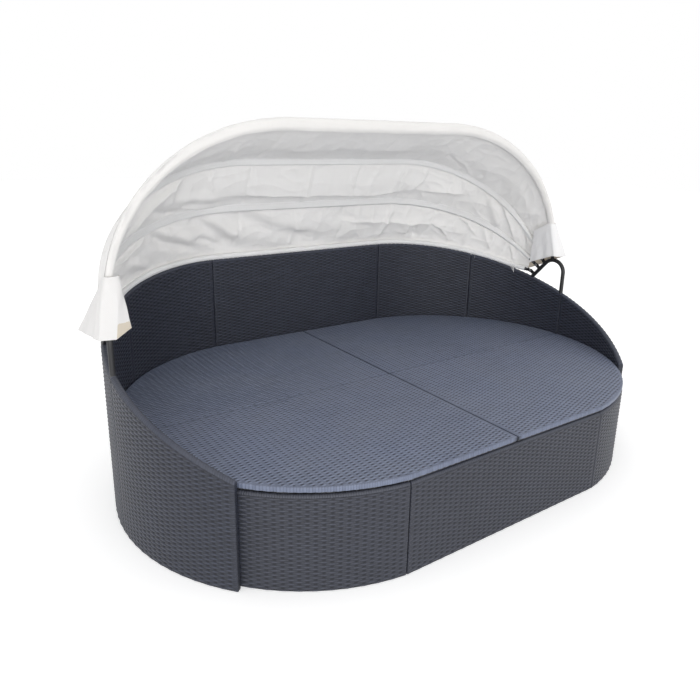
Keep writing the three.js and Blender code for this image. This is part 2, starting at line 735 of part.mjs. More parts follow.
/** One gore of canopy cloth between a bow and the next one behind it. */
function makeGore(k) {
  const lift = TUBE_RADIUS + CLOTH_CLEARANCE + CLOTH_THICKNESS / 2;
  const edge = CLOTH_THICKNESS / 2 + TOUCH_GAP;
  const starts = [shareAt(k, CLOTH_START_DISTANCE), shareAt(k - 1, CLOTH_START_DISTANCE)];
  const edgeAt = (u, end) => bowPoint(k - end, starts[end] + (1 - 2 * starts[end]) * u, lift);
  const pointAt = (u, v) => {
    const front = edgeAt(u, 0);
    if (k === FRONT_BOW) front.addScaledVector(outOfBow(k), -hemSurface(u, lift - CLOTH_THICKNESS / 2));
    const rear = edgeAt(u, 1);
    const inset = edge / front.distanceTo(rear);
    return front.lerp(rear, inset + (1 - 2 * inset) * v);
  };
  const normalAt = (u, v) => {
    const du = FINE_SHARE / CLOTH_COLUMNS;
    const alongU = pointAt(Math.min(u + du, 1), v).sub(pointAt(Math.max(u - du, 0), v));
    const alongV = pointAt(u, 1).sub(pointAt(u, 0));
    return alongU.cross(alongV).normalize();
  };
  const fullSpan = pointAt(1 / 2, 0).distanceTo(pointAt(1 / 2, 1));
  const middleAt = (u, v) => {
    const belly = Math.sin(v * Math.PI) ** 2;
    const spanShare = pointAt(u, 0).distanceTo(pointAt(u, 1)) / fullSpan;
    const pleat = CLOTH_PLEAT_DEPTH * Math.sin(u * 2 * Math.PI * CLOTH_PLEATS);
    return pointAt(u, v).addScaledVector(normalAt(u, v), (CLOTH_SAG_DEPTH + pleat) * belly * spanShare);
  };
  return sheet(CLOTH_COLUMNS, CLOTH_ROWS, middleAt, normalAt, CLOTH_THICKNESS);
}

/** Middle and half reach of the hem's section, measured outward from the front bow. */
function hemSection(u) {
  const innerReach = mix(HEM_INNER_SIDE_DEPTH, HEM_INNER_TOP_DEPTH, Math.sin(u * Math.PI));
  return { middle: (HEM_OUTER_DEPTH - innerReach) / 2, halfReach: (HEM_OUTER_DEPTH + innerReach) / 2 };
}

/** How far behind the front bow's plane the hem's faceted surface lies at an outward reach. */
function hemSurface(u, reach) {
  const { middle, halfReach } = hemSection(u);
  const first = Math.PI / SMALL_SIDES;
  const second = first + 2 * Math.PI / SMALL_SIDES;
  const drop = middle + halfReach * Math.cos(first) - reach;
  const share = drop / (halfReach * (Math.cos(first) - Math.cos(second)));
  return HEM_DEPTH / 2 * (Math.sin(first) + (Math.sin(second) - Math.sin(first)) * share);
}

/** The padded hem round the front bow: a long sleeve, deeper in the middle of the arch. */
function makeHem() {
  const start = shareAt(FRONT_BOW, CLOTH_START_DISTANCE);
  const lift = outOfBow(FRONT_BOW);
  const bore = TUBE_RADIUS + HEM_BORE_CLEARANCE;
  const outerRings = [];
  const innerRings = [];
  for (let i = 0; i <= CLOTH_COLUMNS; i += 1) {
    const u = i / CLOTH_COLUMNS;
    const share = start + (1 - 2 * start) * u;
    const centre = bowPoint(FRONT_BOW, share);
    const outward = bowPoint(FRONT_BOW, share, TUBE_RADIUS).sub(centre).normalize();
    const { middle, halfReach } = hemSection(u);
    const sectionCentre = centre.clone().addScaledVector(outward, middle);
    outerRings.push(ringAround(sectionCentre, outward, lift, halfReach, HEM_DEPTH / 2, SMALL_SIDES));
    innerRings.push(ringAround(centre, outward, lift, bore, bore, SMALL_SIDES));
  }
  return pipe(outerRings, innerRings);
}

/** A closed body between an outer and an inner run of rings, open through its middle. */
function pipe(outerRings, innerRings) {
  const count = outerRings[0].length;
  const rings = [...outerRings, ...innerRings.slice().reverse()];
  const positions = [];
  const index = [];
  for (const ring of rings) {
    for (const point of ring) positions.push(point.x, point.y, point.z);
  }
  for (let r = 0; r < rings.length; r += 1) {
    const next = (r + 1) % rings.length;
    for (let k = 0; k < count; k += 1) {
      const a = r * count + k;
      const b = r * count + ((k + 1) % count);
      const c = next * count + ((k + 1) % count);
      const d = next * count + k;
      index.push(a, b, c, a, c, d);
    }
  }
  const geometry = new THREE.BufferGeometry();
  geometry.setAttribute('position', new THREE.Float32BufferAttribute(positions, 3));
  geometry.setIndex(index);
  return facingOut(geometry);
}

/** How far out the front bow stands at a height. */
function frontBowX(z) {
  let share = 0;
  while (swingingBowPoint(FRONT_BOW, share).z < z) share += FINE_SHARE / BOW_STEPS;
  return swingingBowPoint(FRONT_BOW, share).x;
}

/** The loose flared cloth over one end of the bows: an inner leaf, a front fold and an outer leaf. */
function makeCuff(shape) {
  const { pivot } = lugs[FRONT_BOW];
  const columns = 2 * CUFF_LEAF_COLUMNS + CUFF_FOLD_COLUMNS;
  const leafShare = CUFF_LEAF_COLUMNS / columns;
  const sleeve = HEM_DEPTH / 2 + TOUCH_GAP * 2 + CLOTH_THICKNESS / 2;
  const outside = TUBE_RADIUS + CLOTH_CLEARANCE + CLOTH_THICKNESS;
  const topBowX = frontBowX(pivot.z + shape.topHeight);
  const middleAt = (u, v) => {
    const isOuter = u > 1 / 2;
    const fromEdge = isOuter ? 1 - u : u;
    const back = Math.max(1 - fromEdge / leafShare, 0);
    const lowRear = isOuter ? shape.outerRearHeight : shape.innerRearHeight;
    const foldShare = Math.min(Math.max((u - leafShare) / (1 - 2 * leafShare), 0), 1);
    const lowFront = mix(shape.innerFrontHeight, shape.outerFrontHeight, foldShare);
    const top = shape.topHeight - CUFF_REAR_DROP_HEIGHT * back;
    const rise = mix(top, mix(lowFront, lowRear, back), v);
    const bowY = pivot.y + rise / Math.tan(FRONT_BOW_ANGLE * RAD);
    const front = bowY - sleeve - shape.frontFlareDistance * v;
    const width = mix(CUFF_TOP_WIDTH, CUFF_FOOT_WIDTH, v);
    const y = front + mix(sleeve, width, back);
    const standOff = CUFF_STAND_OFF_DISTANCE * Math.sin(back * Math.PI / 2);
    const footX = frontFoot.x + outside + CUFF_OUTER_FLARE_DISTANCE * mix(1 / 2, 1, back);
    const xOut = mix(topBowX + sleeve + standOff, footX, v);
    const xIn = topBowX - sleeve - shape.innerGapDistance - shape.innerFlareDistance * v;
    if (back > 0) return new THREE.Vector3(isOuter ? xOut : xIn, y, pivot.z + rise);
    const turn = Math.PI * foldShare;
    const squareness = 2 / CUFF_FOLD_SQUARENESS;
    const reach = Math.sign(Math.cos(turn)) * Math.abs(Math.cos(turn)) ** squareness;
    return new THREE.Vector3(
      mix(xIn, xOut, (1 - reach) / 2),
      front + sleeve - sleeve * Math.sin(turn) ** squareness,
      pivot.z + rise,
    );
  };
  const directionAt = (u, v) => {
    const du = FINE_SHARE / columns;
    const alongU = middleAt(Math.min(u + du, 1), v).sub(middleAt(Math.max(u - du, 0), v));
    const alongV = middleAt(u, Math.min(v + du, 1)).sub(middleAt(u, Math.max(v - du, 0)));
    return alongU.cross(alongV).normalize();
  };
  return sheet(columns, CLOTH_ROWS, middleAt, directionAt, CLOTH_THICKNESS);
}

/** The plan outline of one seat panel, drawn in from its edges. */
function seatOutline(inset, step = arcStep) {
  const outerRadius = endRadius - SEAT_SETBACK_DISTANCE - inset;
  const edgeY = SEAT_HALF_DEPTH - SEAT_SETBACK_DISTANCE - inset;
  const centre = SEAT_SEAM_GAP / 2 + inset;
  const startAngle = Math.asin(centre / outerRadius);
  const endAngle = Math.asin(edgeY / outerRadius);
  const shape = new THREE.Shape();
  shape.moveTo(centre, centre);
  for (const angle of arcAngles(startAngle, endAngle, step)) {
    shape.lineTo(endCentreX + outerRadius * Math.cos(angle), outerRadius * Math.sin(angle));
  }
  shape.lineTo(centre, edgeY);
  shape.closePath();
  return shape;
}

/** A flat plate of a given outline between two heights. */
function plate(shape, low, high, edgeRound = 0) {
  const geometry = new THREE.ExtrudeGeometry(shape, {
    depth: high - low - 2 * edgeRound,
    bevelEnabled: edgeRound > 0,
    bevelSize: edgeRound,
    bevelThickness: edgeRound,
    bevelOffset: -edgeRound,
    bevelSegments: 1,
  });
  geometry.translate(0, 0, low + edgeRound);
  return geometry;
}

/** A box between two corners. */
function box(low, high) {
  const geometry = new THREE.BoxGeometry(high[0] - low[0], high[1] - low[1], high[2] - low[2]);
  geometry.translate((low[0] + high[0]) / 2, (low[1] + high[1]) / 2, (low[2] + high[2]) / 2);
  return geometry;
}

/** A solid moved from the rear right quarter of the bed to another quarter. */
function toQuarter(solid, sideX, sideY) {
  let moved = solid;
  if (sideX < 0) moved = moved.mirror([1, 0, 0]);
  if (sideY < 0) moved = moved.mirror([0, 1, 0]);
  return moved;
}

/** The woven top of one seat panel, wrapped down round its edges and open underneath. */
function seatWeave() {
  const low = SEAT_HEIGHT - SEAT_THICKNESS;
  const outside = toSolid(plate(seatOutline(0), low, SEAT_HEIGHT, SEAT_EDGE_RADIUS));
  const roof = SEAT_HEIGHT - WEAVE_WALL_THICKNESS;
  const inside = plate(seatOutline(WEAVE_WALL_THICKNESS * 2), low - CUT_OVERRUN_LENGTH, roof);
  return outside.subtract(toSolid(inside));
}

/** The steel frame inside one seat panel: an edge tube and slats from front to back. */
function seatFrame() {
  const low = SEAT_HEIGHT - SEAT_THICKNESS;
  const high = SEAT_HEIGHT - WEAVE_WALL_THICKNESS - TOUCH_GAP;
  const inset = WEAVE_WALL_THICKNESS * 2 + TOUCH_GAP;
  const coarse = arcStep * 2;
  const whole = toSolid(plate(seatOutline(inset, coarse), low, high));
  const opening = seatOutline(inset + FRAME_BAR_WIDTH, coarse);
  const middle = toSolid(plate(opening, low - CUT_OVERRUN_LENGTH, high + CUT_OVERRUN_LENGTH));
  let frame = whole.subtract(middle);
  const reach = endCentreX + endRadius;
  for (let x = SLAT_SPACING; x < reach - SLAT_SPACING / 2; x += SLAT_SPACING) {
    const slat = box(
      [x - SLAT_WIDTH / 2, 0, low + WEAVE_WALL_THICKNESS],
      [x + SLAT_WIDTH / 2, SEAT_HALF_DEPTH * 2, high],
    );
    frame = frame.add(toSolid(slat).intersect(whole));
  }
  return frame;
}

/** The woven panels of the front and the low skirt at each front corner. */
function addSkirt() {
  const flat = flatRun(-1, skirtTop);
  wovenPanel('skirt_front_weave', flat, -PANEL_THICKNESS, 'skirtWeave');
  panelFrame('skirt_front_frame', flat, -PANEL_THICKNESS, STRAIGHT_POSTS, false);
  for (const [word, side] of sides) {
    const run = endRun(side, -cornerAngle + seamAngle, -panelSweep + lapAngle, -PANEL_THICKNESS / 2,
      () => skirtTop);
    wovenPanel(`skirt_${word}_weave`, run, -PANEL_THICKNESS, 'skirtWeave');
    panelFrame(`skirt_${word}_frame`, run, -PANEL_THICKNESS, CURVED_POSTS, false);
  }
}

/** The backrest shell: one straight back panel and three curved panels on each side. */
function addShell() {
  const back = flatRun(1, BACK_HEIGHT);
  wovenPanel('shell_back_weave', back, SHELL_GAP, 'shellWeave');
  panelFrame('shell_back_frame', back, SHELL_GAP, STRAIGHT_POSTS, true);
  const spans = [['rear', panelSweep, cornerAngle], ['side', 0, panelSweep], ['arm', -panelSweep, 0]];
  for (const [word, side] of sides) {
    for (const [place, from, to] of spans) {
      const run = endRun(side, from + seamAngle, to - seamAngle, wallMiddle, rimHeight);
      const holes = place === 'side' ? legHoles(side) : [];
      wovenPanel(`shell_${place}_${word}_weave`, run, SHELL_GAP, 'shellWeave', holes);
      panelFrame(`shell_${place}_${word}_frame`, run, SHELL_GAP, CURVED_POSTS, true);
    }
  }
}

/** The rails fixed inside the panels, on which the seat panels' edges rest. */
function addRails() {
  const low = carrierTop - RAIL_SIZE;
  const frontOuter = -PANEL_THICKNESS - TOUCH_GAP;
  const shellOuter = SHELL_GAP - TOUCH_GAP;
  const half = FLAT_HALF_LENGTH - RAIL_SIZE;
  const level = [() => low, () => carrierTop];
  const front = flatStations(-1, -half, half, carrierTop);
  addPiece('rail_front', bar(front, frontOuter - RAIL_SIZE, frontOuter, ...level), 'steel');
  const back = flatStations(1, -half, half, carrierTop);
  addPiece('rail_back', bar(back, shellOuter - RAIL_SIZE, shellOuter, ...level), 'steel');
  const turn = RAIL_SIZE / endRadius;
  for (const [word, side] of sides) {
    const corner = arcStations(side, -cornerAngle + turn, -panelSweep + lapAngle - turn, () => carrierTop);
    addPiece(`rail_corner_${word}`, bar(corner, frontOuter - RAIL_SIZE, frontOuter, ...level), 'steel');
    const end = arcStations(side, -panelSweep + lapAngle + turn / 2, cornerAngle - turn, () => carrierTop);
    addPiece(`rail_end_${word}`, bar(end, shellOuter - RAIL_SIZE, shellOuter, ...level), 'steel');
  }
}

/** The beams under the seams between the seat panels, with their legs and feet. */
function addBeams() {
  const low = carrierTop - RAIL_SIZE;
  const legTop = low + RAIL_SIZE / 2;
  const legLow = FOOT_HEIGHT + TOUCH_GAP;
  const railRadius = endRadius + SHELL_GAP - RAIL_SIZE - TOUCH_GAP;
  const reach = endCentreX + railRadius - BEAM_WIDTH / 2 * Math.tan(arcStep / 2) - TOUCH_GAP;
  let long = toSolid(box([-reach, -BEAM_WIDTH / 2, low], [reach, BEAM_WIDTH / 2, carrierTop]));
  const legXs = [['left', -LEG_SPACING], ['centre', 0], ['right', LEG_SPACING]];
  for (const [word, x] of legXs) {
    const leg = box([x - LEG_SIZE / 2, -LEG_SIZE / 2, legLow], [x + LEG_SIZE / 2, LEG_SIZE / 2, legTop]);
    long = long.add(toSolid(leg));
    addPiece(`foot_${word}`, makeFoot(x), 'plastic');
  }
  addPiece('beam_long', fromSolid(long), 'steel');
  const start = BEAM_WIDTH / 2 + TOUCH_GAP;
  const frontEnd = SEAT_HALF_DEPTH - PANEL_THICKNESS - RAIL_SIZE - TOUCH_GAP * 2;
  const backEnd = SEAT_HALF_DEPTH + SHELL_GAP - RAIL_SIZE - TOUCH_GAP * 2;
  const side = BEAM_WIDTH / 2;
  addPiece('beam_front', box([-side, -frontEnd, low], [side, -start, carrierTop]), 'steel');
  addPiece('beam_back', box([-side, start, low], [side, backEnd, carrierTop]), 'steel');
}

/** A round plastic glide under a leg. */
function makeFoot(x) {
  const profile = [
    [0, 0],
    [FOOT_RADIUS, 0],
    [FOOT_RADIUS, FOOT_FLANGE_HEIGHT],
    [LEG_SIZE / 2, FOOT_HEIGHT],
    [0, FOOT_HEIGHT],
  ].map(([radius, z]) => new THREE.Vector2(radius, z));
  const geometry = new THREE.LatheGeometry(profile, SMALL_SIDES);
  geometry.rotateX(Math.PI / 2);
  geometry.translate(x, 0, 0);
  return facingOut(mergeVertices(stripped(geometry), MERGE_DISTANCE));
}

/** The four seat panels. */
function addSeat() {
  const weave = seatWeave();
  const frame = seatFrame();
  for (const [word, sideX] of sides) {
    for (const [place, sideY] of [['front', -1], ['rear', 1]]) {
      addPiece(`seat_${place}_${word}_weave`, fromSolid(toQuarter(weave, sideX, sideY)), 'seatWeave');
      addPiece(`seat_${place}_${word}_frame`, fromSolid(toQuarter(frame, sideX, sideY)), 'steel');
    }
  }
}

/** Brackets, bows, bolts and cloth. */
function addCanopy() {
  const bowNames = ['bow_rear', 'bow_second', 'bow_third', 'bow_front'];
  const bracket = makeBracket();
  const cuffs = { left: makeCuff(CUFF_LEFT), right: makeCuff(CUFF_RIGHT) };
  for (const [word, side] of sides) {
    addPiece(`bracket_${word}`, toSide(bracket, side), 'steel');
    addPiece(`cuff_${word}`, toSide(cuffs[word], side), 'cloth');
    bowNames.forEach((bow, k) => addPiece(`${bow}_bolt_${word}`, toSide(makeBolt(k), side), 'bolt'));
  }
  bowNames.forEach((bow, k) => addPiece(bow, makeBow(k), 'steel'));
  addPiece('canopy_gore_rear', makeGore(1), 'cloth');
  addPiece('canopy_gore_middle', makeGore(2), 'cloth');
  addPiece('canopy_gore_front', makeGore(3), 'cloth');
  addPiece('canopy_front_hem', makeHem(), 'cloth');
}

addSkirt();
addShell();
addRails();
addBeams();
addSeat();
addCanopy();

export default daybed;
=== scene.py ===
"""Outdoor daybed with a fold-back canopy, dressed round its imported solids.

Lengths are in metres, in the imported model's frame: X along the bed, +Y to the backrest, +Z up.
"""

import json
import logging
import math
from dataclasses import dataclass, field
from enum import Enum
from typing import Callable, Sequence

import bmesh
import bpy
import numpy as np
from mathutils import Matrix, Vector, noise

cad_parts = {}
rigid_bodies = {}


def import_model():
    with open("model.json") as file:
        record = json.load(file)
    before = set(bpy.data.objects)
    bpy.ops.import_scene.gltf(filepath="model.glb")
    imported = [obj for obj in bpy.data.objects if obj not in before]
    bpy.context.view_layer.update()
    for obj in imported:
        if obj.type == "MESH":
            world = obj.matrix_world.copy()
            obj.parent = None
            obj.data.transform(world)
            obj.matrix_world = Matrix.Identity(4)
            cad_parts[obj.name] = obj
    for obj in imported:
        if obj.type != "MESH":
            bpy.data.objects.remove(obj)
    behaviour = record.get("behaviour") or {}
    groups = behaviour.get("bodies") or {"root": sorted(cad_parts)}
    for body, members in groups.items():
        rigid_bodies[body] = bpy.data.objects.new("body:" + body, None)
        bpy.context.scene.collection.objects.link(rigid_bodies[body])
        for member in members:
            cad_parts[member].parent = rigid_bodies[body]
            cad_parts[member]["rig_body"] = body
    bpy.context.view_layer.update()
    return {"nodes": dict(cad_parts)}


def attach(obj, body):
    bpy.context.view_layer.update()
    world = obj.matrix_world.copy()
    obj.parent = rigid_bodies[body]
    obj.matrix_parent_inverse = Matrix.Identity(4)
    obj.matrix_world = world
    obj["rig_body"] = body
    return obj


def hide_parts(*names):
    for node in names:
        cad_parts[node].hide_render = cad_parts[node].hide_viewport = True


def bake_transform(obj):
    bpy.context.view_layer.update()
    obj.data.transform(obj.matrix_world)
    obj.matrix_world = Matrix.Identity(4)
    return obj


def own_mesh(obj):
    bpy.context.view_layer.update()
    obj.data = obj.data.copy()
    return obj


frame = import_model()

logging.basicConfig(level=logging.INFO, format="%(message)s")
log = logging.getLogger("daybed")

Array = np.ndarray
Triple = tuple[float, float, float]
Piece = bpy.types.Object
Socket = bpy.types.NodeSocket
Sockets = dict[str, Socket]
RimHeight = Callable[[Array], Array]

UP = np.array([0.0, 0.0, 1.0])
OUT = np.array([1.0, 0.0, 0.0])
FULL_TURN = 2.0 * math.pi


def smooth_step(low: float, high: float, value: Array) -> Array:
    """A smooth ramp from 0 at low to 1 at high.

    Args:
        low: value at which the ramp starts.
        high: value at which it ends.
        value: the values to map.

    Returns:
        Numbers from 0 to 1.
    """
    t = np.clip((value - low) / (high - low), 0.0, 1.0)
    return t * t * (3.0 - 2.0 * t)


def unit(vectors: Array) -> Array:
    """The vectors scaled to length 1."""
    return vectors / np.maximum(np.linalg.norm(vectors, axis=-1, keepdims=True), 1e-12)


def stacked(*parts: Array | float) -> Array:
    """Arrays spread to one shape and laid side by side in a new last axis."""
    return np.stack(np.broadcast_arrays(*parts), -1)


def length_of(line: Array) -> float:
    """Length of a line of points."""
    return float(np.linalg.norm(np.diff(line, axis=0), axis=-1).sum())


def placed(name: str, data: bpy.types.ID) -> Piece:
    """A new object in the scene that shows some data.

    Args:
        name: name of the object.
        data: its mesh, lamp or camera.

    Returns:
        The object.
    """
    made = bpy.data.objects.new(name, data)
    bpy.context.scene.collection.objects.link(made)
    return made


# Measures that several pieces share


class Side(Enum):
    """The two hands of the bed, seen from the front."""

    LEFT = -1
    RIGHT = 1

    @property
    def word(self) -> str:
        """The side's name as it stands in a piece's name."""
        return self.name.lower()


@dataclass(frozen=True)
class BedPlan:
    """The plan and the heights of the bed, as in the solids."""

    half_depth: float = 0.670
    flat_half: float = 0.441
    centre_inset: float = 0.082
    shift: float = -0.0125
    seat_top: float = 0.330
    seat_low: float = 0.312
    skirt_top: float = 0.307
    back_top: float = 0.712
    tip_top: float = 0.346
    panel: float = 0.022
    shell_gap: float = 0.003
    seam: float = 0.0006
    lap: float = 0.042

    @property
    def radius(self) -> float:
        """Radius of a round end at the seat's edge."""
        return math.hypot(self.half_depth, self.centre_inset)

    @property
    def centre_x(self) -> float:
        """Distance of a round end's centre from the middle of the bed."""
        return self.flat_half - self.centre_inset

    @property
    def corner(self) -> float:
        """Angle from the long axis at which a round end meets the straight front or back."""
        return math.atan2(self.half_depth, self.centre_inset)

    @property
    def sweep(self) -> float:
        """Angle that one curved panel spans."""
        return self.corner / 2.0

    def rim(self, angle: Array) -> Array:
        """Height of the shell's rim at an angle round an end."""
        share = (angle + self.sweep) / (self.corner + self.sweep)
        return self.tip_top + (self.back_top - self.tip_top) * np.sin(share * math.pi / 2.0)


PLAN = BedPlan()


class Run:
    """A line in plan that a wall follows."""

    length: float

    def point(self, along: Array, offset: Array) -> Array:
        """Plan point (x, y) at a distance along the run and an offset outward from the seat's edge."""
        raise NotImplementedError


@dataclass(frozen=True)
class StraightRun(Run):
    """The straight front (-1) or back (+1), mitred toward the round ends."""

    face: int

    @property
    def length(self) -> float:
        """Length of the run."""
        return 2.0 * PLAN.flat_half - PLAN.seam

    def point(self, along: Array, offset: Array) -> Array:
        """Plan point on the straight side.

        Args:
            along: distance from the left end.
            offset: distance outward from the seat's edge.

        Returns:
            Points (x, y) in the last axis.
        """
        mitre = PLAN.centre_inset / (PLAN.half_depth * PLAN.flat_half)
        x = (along - self.length / 2.0) * (1.0 + offset * mitre)
        y = self.face * (PLAN.half_depth + offset) + PLAN.shift
        return stacked(x, y)


@dataclass(frozen=True)
class EndRun(Run):
    """A stretch of a round end between two angles."""

    side: Side
    start: float
    stop: float
    middle: float

    @property
    def length(self) -> float:
        """Length of the run at the wall's middle."""
        return (self.stop - self.start) * (PLAN.radius + self.middle) - PLAN.seam

    def angle(self, along: Array) -> Array:
        """Angle from the long axis at a distance along the run."""
        return self.start + (along + PLAN.seam / 2.0) / (PLAN.radius + self.middle)

    def rim(self, along: Array) -> Array:
        """Height of the shell's rim at a distance along the run."""
        return PLAN.rim(self.angle(along))

    def point(self, along: Array, offset: Array) -> Array:
        """Plan point on the round end.

        Args:
            along: distance from the front end of the run.
            offset: distance outward from the seat's edge.

        Returns:
            Points (x, y) in the last axis.
        """
        angle = self.angle(along)
        radius = PLAN.radius + offset
        x = self.side.value * (PLAN.centre_x + radius * np.cos(angle))
        y = radius * np.sin(angle) + PLAN.shift
        return stacked(x, y)


# Mesh making


@dataclass
class MeshDraft:
    """Vertices and faces that become one object, with one coordinate for its material.

    The place of a vertex is a vector that the finishes read: on weave, stakes and strands
    counted from a corner, and how far the weave is open.
    """

    points: list[Array] = field(default_factory=list)
    places: list[Array] = field(default_factory=list)
    faces: list[Sequence[int]] = field(default_factory=list)
    count: int = 0
    merge_distance: float = 2e-5

    def add(self, points: Array, places: Array | None = None) -> Array:
        """Adds a grid of points.

        Args:
            points: points in an array whose last axis is x, y, z.
            places: material coordinates of the same shape, or nothing for zeros.

        Returns:
            The new vertices' numbers, in the grid's shape.
        """
        flat = np.asarray(points, float).reshape(-1, 3)
        self.points.append(flat)
        given = np.zeros_like(flat) if places is None else np.asarray(places, float)
        self.places.append(given.reshape(-1, 3))
        index = np.arange(self.count, self.count + len(flat)).reshape(np.shape(points)[:-1])
        self.count += len(flat)
        return index

    def grid(self, index: Array, wrap_rows: bool = False, wrap_columns: bool = False) -> None:
        """Joins a two-way grid of vertex numbers by four-sided faces.

        Args:
            index: vertex numbers, rows by columns.
            wrap_rows: whether the last row joins the first.
            wrap_columns: whether the last column joins the first.
        """
        if wrap_rows:
            index = np.concatenate([index, index[:1]], 0)
        if wrap_columns:
            index = np.concatenate([index, index[:, :1]], 1)
        quads = np.stack([index[:-1, :-1], index[:-1, 1:], index[1:, 1:], index[1:, :-1]], -1)
        self.faces.extend(quads.reshape(-1, 4).tolist())

    def bar(self, rings: Array) -> None:
        """Adds a closed bar.

        Args:
            rings: the rings of points along it.
        """
        index = self.add(rings)
        self.grid(index, wrap_columns=True)
        self.faces.append(index[0][::-1].tolist())
        self.faces.append(index[-1].tolist())

    def tube(self, outer: Array, inner: Array, places: Array) -> None:
        """Adds a tube with a wall, open at both ends.

        Args:
            outer: rings of the outer face.
            inner: rings of the inner face.
            places: material coordinates of either face.
        """
        rings = [self.add(outer, places), self.add(inner[::-1], places[::-1])]
        self.grid(np.concatenate(rings), wrap_rows=True, wrap_columns=True)

    def ladder(self, ring: Array, forward: bool) -> None:
        """Closes a ring of even count by rungs between its two halves.

        Args:
            ring: vertex numbers round the ring.
            forward: whether the rungs face the way that the ring turns.
        """
        count = len(ring)
        for k in range(count // 2 - 1):
            quad = [int(ring[k]), int(ring[k + 1]), int(ring[count - 2 - k]), int(ring[count - 1 - k])]
            self.faces.append(quad if forward else quad[::-1])

    def object(self, name: str, merge: bool = False, sharp: float = 50.0) -> Piece:
        """Makes the object, facing out and smooth but for edges sharper than an angle.

        Args:
            name: name of the piece.
            merge: whether vertices in one place become one.
            sharp: angle in degrees above which an edge stays sharp.

        Returns:
            The new object.
        """
        mesh = bpy.data.meshes.new(name)
        mesh.from_pydata(np.concatenate(self.points).tolist(), [], self.faces)
        attribute = mesh.attributes.new("place", "FLOAT_VECTOR", "POINT")
        attribute.data.foreach_set("vector", np.concatenate(self.places).astype(np.float32).ravel())
        work = bmesh.new()
        work.from_mesh(mesh)
        if merge:
            bmesh.ops.remove_doubles(work, verts=work.verts, dist=self.merge_distance)
        if work.calc_volume(signed=True) < 0.0:
            bmesh.ops.reverse_faces(work, faces=work.faces)
        work.to_mesh(mesh)
        work.free()
        mesh.polygons.foreach_set("use_smooth", np.ones(len(mesh.polygons), bool))
        mesh.set_sharp_from_angle(angle=math.radians(sharp))
        mesh.update()
        return placed(name, mesh)


def settle(piece: Piece, body: str, nodes: Sequence[str] = ()) -> Piece:
    """Lets a piece ride a body and the solids that it stands for.

    Args:
        piece: the piece.
        body: the body that it rides.
        nodes: the solids that it replaces.

    Returns:
        The same piece.
    """
    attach(piece, body)
    if nodes:
        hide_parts(*nodes)
    log.info("%s: %d faces on %s", piece.name, len(piece.data.polygons), body)
    return piece


def swept(points: Array, radii: Array, level: Array, sides: int) -> Array:
    """Rings of a round bar through points, kept level to a direction.

    Args:
        points: the centre line.
        radii: radius at each point.
        level: a direction that the bar never runs along.
        sides: vertices in a ring.

    Returns:
        Rings of points, one for each point of the centre line.
    """
    tangent = unit(np.gradient(points, axis=0))
    across = unit(np.cross(np.broadcast_to(level, tangent.shape), tangent))
    upright = np.cross(tangent, across)
    turn = np.linspace(0.0, FULL_TURN, sides, endpoint=False)[None, :, None]
    spokes = np.cos(turn) * upright[:, None] + np.sin(turn) * across[:, None]
    return points[:, None] + spokes * np.reshape(radii, (-1, 1, 1))


# Shader node groups

DUST = (0.30, 0.30, 0.30)


